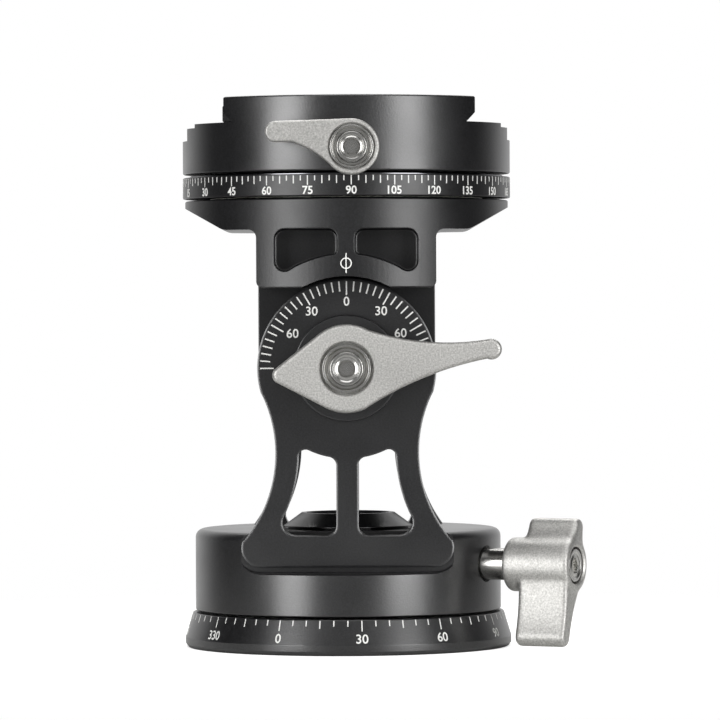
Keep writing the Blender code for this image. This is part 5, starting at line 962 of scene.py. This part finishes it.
channel = [
    (-LIP, 110), (-LIP, JAW_TOP - LIP_LENGTH), (-LIP - UNDERCUT, FLOOR_HEIGHT), (-RECESS_DEPTH, FLOOR_HEIGHT),
    (-RECESS_DEPTH, RECESS_FLOOR), (RECESS_DEPTH, RECESS_FLOOR), (RECESS_DEPTH, FLOOR_HEIGHT),
    (BODY_REAR, FLOOR_HEIGHT), (BODY_REAR, 80), (BEYOND, 80), (BEYOND, 110),
]
body = cut(clamp_disc(0.35), moved(stack([(channel, -BEYOND), (channel, BEYOND)]), RIGHT))
notches, holes = bmesh.new(), bmesh.new()
screw_hole = [
    (0, 80), (1.8, 80), (1.8, SCREW_SEAT), (3.05, SCREW_SEAT), (3.05, RECESS_FLOOR - 0.25), (3.3, RECESS_FLOOR),
    (3.3, 98), (0, 98),
]
for side in (1, -1):
    add_box(notches, Matrix.Translation((side * NOTCH_CENTRE, 0, JAW_TOP + 2.5)), (4, 14, 20))
    add_spin(holes, screw_hole, SMALL, (side * SCREW_PLACE, 0))
add_spin(holes, [(0, 80), (8.0, 80), (8.0, 87.5), (0, 87.5)], MEDIUM)
body = break_upper_edges(cut(cut(body, notches), holes))
add_piece("clamp_body_milled", body, TURNED_TOP, black_aluminium, "top_pan", "clamp_body")
for name, side in (("fixing_screw_right", 1), ("fixing_screw_left", -1)):
    screw = socket_screw(SCREW_SEAT + GAP, 2.75, 2.9, 1.5, 8.3, 2.5)
    moved(screw, Matrix.Translation((side * SCREW_PLACE, 0, 0)))
    add_piece(name + "_turned", screw, TURNED_TOP, black_steel_upright, "top_pan", name)

# %% Sliding jaw
JAW_FACE, PIN_PLACE = 20.0, 16
jaw_front = [
    (LIP, 110), (-BEYOND, 110), (-BEYOND, 80), (JAW_FACE, 80), (JAW_FACE, FLOOR_HEIGHT), (LIP + UNDERCUT, FLOOR_HEIGHT),
    (LIP, JAW_TOP - LIP_LENGTH),
]
jaw = cut(clamp_disc(0.35), moved(stack([(jaw_front, -BEYOND), (jaw_front, BEYOND)]), RIGHT))
jaw_holes = bmesh.new()
add_spin(jaw_holes, [(0, -19), (3.8, -19), (3.8, -23.6), (2.3, -23.6), (2.3, -28.8), (0, -28.8)], SMALL)
for side in (1, -1):
    add_spin(jaw_holes, [(0, -19), (1.6, -19), (1.6, -23.2), (0, -23.2)], SMALL, (side * PIN_PLACE, 0))
jaw = break_upper_edges(cut(jaw, moved(jaw_holes, Matrix.Translation(rod_place) @ FRONT)))
add_piece("sliding_jaw_milled", jaw, TURNED_TOP, black_aluminium, "jaw", "rear_jaw")

# %% [markdown]
# ## Clamp lever
# The clamp has a smaller lever of the same family: a round hub and one arm to the left, with a hollow under the arm
# for the fingertip. It is made as the tilt lever is.

# %% Clamp lever
CLAMP_BACK, CLAMP_FACE, CLAMP_HUB = 30.3, 33.3, 4.96
CLAMP_TIP, CLAMP_TIP_RADIUS, CLAMP_RECESS = (-13.5, 2.7), 1.84, 4.18


def clamp_lever_outline():
    """Round hub with one arm to the left, hollowed on its lower edge."""
    top, bottom = math.radians(92), math.radians(219)
    outline = arc((0, 0), CLAMP_HUB, bottom - math.tau, top, 56)
    outline += arc(CLAMP_TIP, CLAMP_TIP_RADIUS, top, math.tau - math.pi / 2, 18)
    outline += arc_through((-10.6, 0.9), (-7.6, -0.4), polar((0, 0), CLAMP_HUB, bottom), 12)[:-1]
    return outline


clamp_lever = stack(rounded_levels(clamp_lever_outline(), CLAMP_BACK, CLAMP_FACE, 0.25, 0.4, 4))
clamp_floor = CLAMP_FACE - 1.3
clamp_bore = [
    (0, 29), (2.3, 29), (2.3, clamp_floor - 0.5), (1.3, clamp_floor - 0.5), (1.3, clamp_floor),
    (CLAMP_RECESS, clamp_floor), (CLAMP_RECESS, CLAMP_FACE - 0.15), (CLAMP_RECESS + 0.15, CLAMP_FACE),
    (CLAMP_RECESS + 0.15, CLAMP_FACE + 2), (0, CLAMP_FACE + 2),
]
clamp_lever = cut(clamp_lever, spin_profile(clamp_bore, MEDIUM))
add_piece(
    "clamp_lock_lever_milled", clamp_lever, AT_CLAMP_ROD, silver_aluminium, "clamp_lock_lever", "clamp_lever",
)
add_piece(
    "clamp_dished_washer", dished_washer(2.84, 3.88, clamp_floor + GAP), AT_CLAMP_ROD, steel_clamp,
    "clamp_lock_lever", "clamp_lever_washer",
)
add_piece(
    "clamp_cap_screw", socket_screw(clamp_floor + GAP, 2.68, 1.4, 1.0, 3.0, 2.5), AT_CLAMP_ROD, steel_clamp,
    "clamp_lock_lever", "clamp_lever_screw",
)

# %% [markdown]
# ## Scales
# The scales are engraved and filled with white ink. In the picture only the ink can be seen, so each line and each
# numeral is a thin solid that stands 0.02 mm proud and reaches into the metal. Lines are scaled cubes. Numerals are
# text made a mesh and then wrapped: the x of each vertex becomes an angle round the ring.

# %% Lines and numerals
INK = 0.05
LINE = 0.2


def add_line(bm, place, width, length):
    """One engraved line: a thin block, upright in its place and facing the front."""
    add_box(bm, place, (width, INK, length))


def numeral(text, height, weight=0.012):
    """Flat text of a given height, centred, as a thin bmesh in the XY plane."""
    curve = bpy.data.curves.new("numeral", "FONT")
    curve.body, curve.align_x, curve.align_y = text, "CENTER", "CENTER"
    curve.offset, curve.resolution_u = weight, 4
    thing = bpy.data.objects.new("numeral", curve)
    bpy.context.collection.objects.link(thing)
    mesh = bpy.data.meshes.new_from_object(thing)
    bm = bmesh.new()
    bm.from_mesh(mesh)
    bpy.data.meshes.remove(mesh)
    bpy.data.curves.remove(curve)
    low, high = (pick(vert.co.y for vert in bm.verts) for pick in (min, max))
    left, right = (pick(vert.co.x for vert in bm.verts) for pick in (min, max))
    middle = Matrix.Translation((-(left + right) / 2, -(low + high) / 2, 0))
    moved(bm, Matrix.Scale(height / (high - low), 4) @ middle)
    bmesh.ops.remove_doubles(bm, verts=bm.verts, dist=WELD)
    thick = bmesh.ops.extrude_face_region(bm, geom=bm.faces[:])["geom"]
    bmesh.ops.translate(bm, verts=[g for g in thick if isinstance(g, bmesh.types.BMVert)], vec=(0, 0, INK))
    return bm


def add_wrapped(target, bm, radius, angle, height, lean=0.0):
    """Wrap a flat numeral round a ring. A lean tips it inwards, as a sloped skirt does."""
    for vert in bm.verts:
        across, up, out = vert.co
        reach = radius + (out - INK * 0.6) * math.cos(lean) - up * math.sin(lean)
        turn = angle + across / radius
        vert.co = (reach * math.sin(turn), -reach * math.cos(turn), height + up * math.cos(lean))
    merge(target, bm)


# %% Lower pan scale
SKIRT_LEAN = math.atan2(BASE_RADIUS - BASE_TOP_RADIUS, SKIRT_HIGH - SKIRT_LOW)
BASE_ZERO, NUMERAL_DOWN = -25.0, 3.5


def skirt_place(angle, down):
    """A place on the skirt: an angle from the front and a distance down from its upper edge."""
    out, height = BASE_TOP_RADIUS + down * math.sin(SKIRT_LEAN), SKIRT_HIGH - down * math.cos(SKIRT_LEAN)
    drop = Matrix.Translation((0, -out, height))
    return Matrix.Rotation(angle, 4, "Z") @ drop @ Matrix.Rotation(-SKIRT_LEAN, 4, "X")


base_scale = bmesh.new()
for degrees in range(0, 360, 5):
    length = 1.95 if degrees % 30 == 0 else 1.45 if degrees % 15 == 0 else 1.05
    angle = math.radians(BASE_ZERO + degrees)
    add_line(base_scale, skirt_place(angle, 0.15 + length / 2), LINE, length)
    if degrees % 30 == 0:
        out = BASE_TOP_RADIUS + NUMERAL_DOWN * math.sin(SKIRT_LEAN)
        height = SKIRT_HIGH - NUMERAL_DOWN * math.cos(SKIRT_LEAN)
        add_wrapped(base_scale, numeral(str(degrees), 1.7), out, angle, height, SKIRT_LEAN)
add_piece("lower_pan_scale", base_scale, UPRIGHT, white_ink, "base")

# %% Upper pan scale
DIAL_INK_TOP = 85.62
dial_scale = bmesh.new()
for step in range(144):
    degrees = step * 2.5
    length = 1.7 if degrees % 15 == 0 else 1.42 if degrees % 5 == 0 else 0.92
    angle = math.radians(degrees - 90)
    place = Matrix.Rotation(angle, 4, "Z") @ Matrix.Translation((0, -DISC_RADIUS, DIAL_INK_TOP - length / 2))
    add_line(dial_scale, place, LINE, length)
    if degrees % 15 == 0:
        add_wrapped(dial_scale, numeral(str(int(degrees)), 1.5, 0.02), DISC_RADIUS, angle, 83.0)
add_piece("upper_pan_scale", dial_scale, TURNED_TOP, white_ink, "top_pan")

# %% Tilt scale and index
SCALE_OUTER, TILT_LINE = 15.6, 0.25
tilt_numerals = ((0, 0, 12.0), (30, 31.3, 12.0), (30, -31.3, 12.0), (60, 57.1, 11.55), (60, -57.1, 11.55))
tilt_scale = bmesh.new()
for degrees in range(-90, 91, 5):
    inner = 13.1 if degrees % 30 == 0 else 13.8
    turn = Matrix.Rotation(math.radians(degrees), 4, "Y")
    line_middle = Matrix.Translation((0, 0, (SCALE_OUTER + inner) / 2))
    place = Matrix.Translation((0, -CHEEK_FACE, PIVOT_HEIGHT)) @ turn @ line_middle
    add_line(tilt_scale, place, TILT_LINE, SCALE_OUTER - inner)
for number, degrees, radius in tilt_numerals:
    across, up = radius * math.sin(math.radians(degrees)), radius * math.cos(math.radians(degrees))
    place = FRONT @ Matrix.Translation((across, PIVOT_HEIGHT + up, CHEEK_FACE - INK * 0.6))
    merge(tilt_scale, moved(numeral(str(number), 1.65), place))
add_piece("tilt_scale", tilt_scale, UPRIGHT, white_ink, "pan_yoke")

INDEX_HEIGHT, INDEX_LOW, INDEX_HIGH, INDEX_RADIUS = 69.95, 68.2, 71.75, 0.82
index = spin_profile(
    [(INDEX_RADIUS, 0), (INDEX_RADIUS + 0.2, 0), (INDEX_RADIUS + 0.2, INK), (INDEX_RADIUS, INK)], SMALL
)
wrapped_index = bmesh.new()
add_wrapped(wrapped_index, index, BLOCK_RADIUS, 0, INDEX_HEIGHT)
add_line(
    wrapped_index, Matrix.Translation((0, -BLOCK_RADIUS, (INDEX_LOW + INDEX_HIGH) / 2)), LINE, INDEX_HIGH - INDEX_LOW
)
add_piece("tilt_index", wrapped_index, UPRIGHT, white_ink, "tilt_head")

# %% [markdown]
# ## Nodes that keep their own mesh
# The bearings, pins, nuts and shoes sit inside the head and show only through gaps. Their CAD meshes are exact, so
# they only need their finishes.

# %% Finishes of the inner nodes
inner_finishes = {
    acetal: ["pan_thrust_washer", "top_bearing_ring"],
    bronze: ["pan_upper_washer", "centre_washer"],
    bronze_tilt: ["tilt_bush"],
    black_steel_upright: ["pan_retaining_nut", "centre_screw"],
    fibre: ["friction_disc_front", "friction_disc_rear"],
    brass: ["pan_lock_shoe", "top_lock_shoe", "jaw_nut"],
    steel_tilt: ["tilt_lever_nut"],
    steel_clamp: ["jaw_pin_right", "jaw_pin_left", "clamp_rod"],
}
for finish, names in inner_finishes.items():
    for name in names:
        nodes[name].data.materials.clear()
        nodes[name].data.materials.append(finish)
print("inner nodes:", sum(len(names) for names in inner_finishes.values()))

# %% [markdown]
# ## Studio
# The photograph is a catalogue picture: a white surround, and a tall soft light on each side. A round black part
# mirrors each light as an upright band half way between the light and the lens, so the two bands on the drum give the
# angles of the lights. A third one over the lens lights the upper rims, and a fourth stands behind. The world is white
# to the lens. In reflections it is a room with dim walls, and elsewhere it is dimmer still, so that the white surround
# doesn't flood the part. The floor is a pale disc that fades out before its horizon would show. It glows a little to
# the lens only, so that it meets the white surround and keeps just the shadow at the foot.

# %% Floor and surround
FLOOR_RADIUS = 420.0
FRONT_WALL, SIDE_WALLS, REAR_WALL, AMBIENT, FLOOR_GLOW = 0.24, 0.03, 1.0, 0.15, 0.66
WHITE = linear("#ffffff")
floor_mesh = bmesh.new()
bmesh.ops.create_circle(floor_mesh, cap_ends=True, radius=FLOOR_RADIUS * MM, segments=128)
floor_data = bpy.data.meshes.new("floor")
floor_mesh.to_mesh(floor_data)
floor_mesh.free()
floor = bpy.data.objects.new("floor", floor_data)
bpy.context.collection.objects.link(floor)
paper, tree, shader, coords = start_finish("paper_white_matt", {"Roughness": 0.9, "Base Color": linear("#ececea")})
reach = add_node(tree, "ShaderNodeVectorMath", {"operation": "LENGTH"}, {0: (coords, "Object")})
fade = add_node(
    tree, "ShaderNodeMapRange", {"From Min": 0.04, "From Max": 0.17, "interpolation_type": "SMOOTHSTEP"},
    {"Value": (reach, "Value")},
)
rays = add_node(tree, "ShaderNodeLightPath")
glow = add_node(tree, "ShaderNodeMath", {"operation": "MULTIPLY", 1: FLOOR_GLOW}, {0: (rays, "Is Camera Ray")})
shader.inputs["Emission Color"].default_value = WHITE
tree.links.new(glow.outputs["Value"], shader.inputs["Emission Strength"])
clear = add_node(tree, "ShaderNodeBsdfTransparent")
mix = add_node(tree, "ShaderNodeMixShader", None, {0: (fade, "Result"), 1: (shader, "BSDF"), 2: (clear, "BSDF")})
tree.links.new(mix.outputs["Shader"], tree.nodes["Material Output"].inputs["Surface"])
floor_data.materials.append(paper)

world = bpy.data.worlds.new("white_surround")
bpy.context.scene.world = world
world.use_nodes = True
tree = world.node_tree
background = tree.nodes["Background"]
background.inputs["Color"].default_value = WHITE
rays = add_node(tree, "ShaderNodeLightPath")
seen = (rays, "Is Camera Ray")
for ray in ("Is Glossy Ray", "Is Transmission Ray"):
    seen = (add_node(tree, "ShaderNodeMath", {"operation": "MAXIMUM"}, {0: seen, 1: (rays, ray)}), "Value")
where = add_node(tree, "ShaderNodeTexCoord")
away = add_node(tree, "ShaderNodeSeparateXYZ", None, {"Vector": (where, "Object")})
depth = add_node(tree, "ShaderNodeMapRange", {"From Min": -1.0, "From Max": 1.0}, {"Value": (away, "Y")})
room = add_node(tree, "ShaderNodeValToRGB", None, {"Fac": (depth, "Result")})
walls = room.color_ramp.elements
walls[0].color = (FRONT_WALL, FRONT_WALL, FRONT_WALL, 1)
walls[1].position, walls[1].color = 0.9, (REAR_WALL, REAR_WALL, REAR_WALL, 1)
for place in (0.25, 0.7):
    walls.new(place).color = (SIDE_WALLS, SIDE_WALLS, SIDE_WALLS, 1)
mirrored_room = add_node(
    tree, "ShaderNodeMix", {"data_type": "FLOAT", 3: 1.0}, {0: (rays, "Is Camera Ray"), 2: (room, "Color")}
)
level = add_node(
    tree, "ShaderNodeMix", {"data_type": "FLOAT", 2: AMBIENT}, {0: seen, 3: (mirrored_room, "Result")}
)
tree.links.new(level.outputs["Result"], background.inputs["Strength"])
print("floor radius", FLOOR_RADIUS, "mm")

# %% Lights
AIM, LIGHT_DISTANCE = Vector((0, 0, 50)) * MM, 700 * MM


def add_softbox(name, azimuth, elevation, size, power):
    """A soft light at an angle from the front, aimed at the middle of the head."""
    light = bpy.data.lights.new(name, "AREA")
    light.shape, light.size, light.size_y, light.energy = "RECTANGLE", size[0] * MM, size[1] * MM, power
    lamp = bpy.data.objects.new(name, light)
    bpy.context.collection.objects.link(lamp)
    a, e = math.radians(azimuth), math.radians(elevation)
    away = Vector((math.sin(a) * math.cos(e), -math.cos(a) * math.cos(e), math.sin(e)))
    lamp.location = AIM + away * LIGHT_DISTANCE
    lamp.rotation_euler = away.to_track_quat("Z", "Y").to_euler()
    lamp.visible_camera = False


add_softbox("softbox_left", -42, 3, (300, 480), 3.3)
add_softbox("softbox_right", 43, 3, (300, 480), 3.3)
add_softbox("softbox_front", 0, 58, (600, 400), 1.8)
add_softbox("softbox_top", 180, 62, (500, 300), 3.0)

# %% [markdown]
# ## Camera
# The photograph was taken with a long lens from a little under a metre, level with the middle of the head. That place
# comes from how much larger the near edges of the rings look than the far ones.

# %% Camera
lens = bpy.data.cameras.new("long_lens")
lens.lens, lens.sensor_width = 250, 36
lens.clip_start, lens.clip_end = 0.05, 10
camera = bpy.data.objects.new("long_lens", lens)
bpy.context.collection.objects.link(camera)
bpy.context.scene.camera = camera
heading = Matrix.Rotation(math.radians(0.11), 4, "Z") @ Matrix.Rotation(math.radians(90 - 0.63), 4, "X")
camera.matrix_world = (
    Matrix.Translation(Vector((4.1, -918.5, 62.5)) * MM) @ heading @ Matrix.Rotation(math.radians(-0.28), 4, "Z")
)
bpy.context.scene.view_settings.view_transform = "Standard"
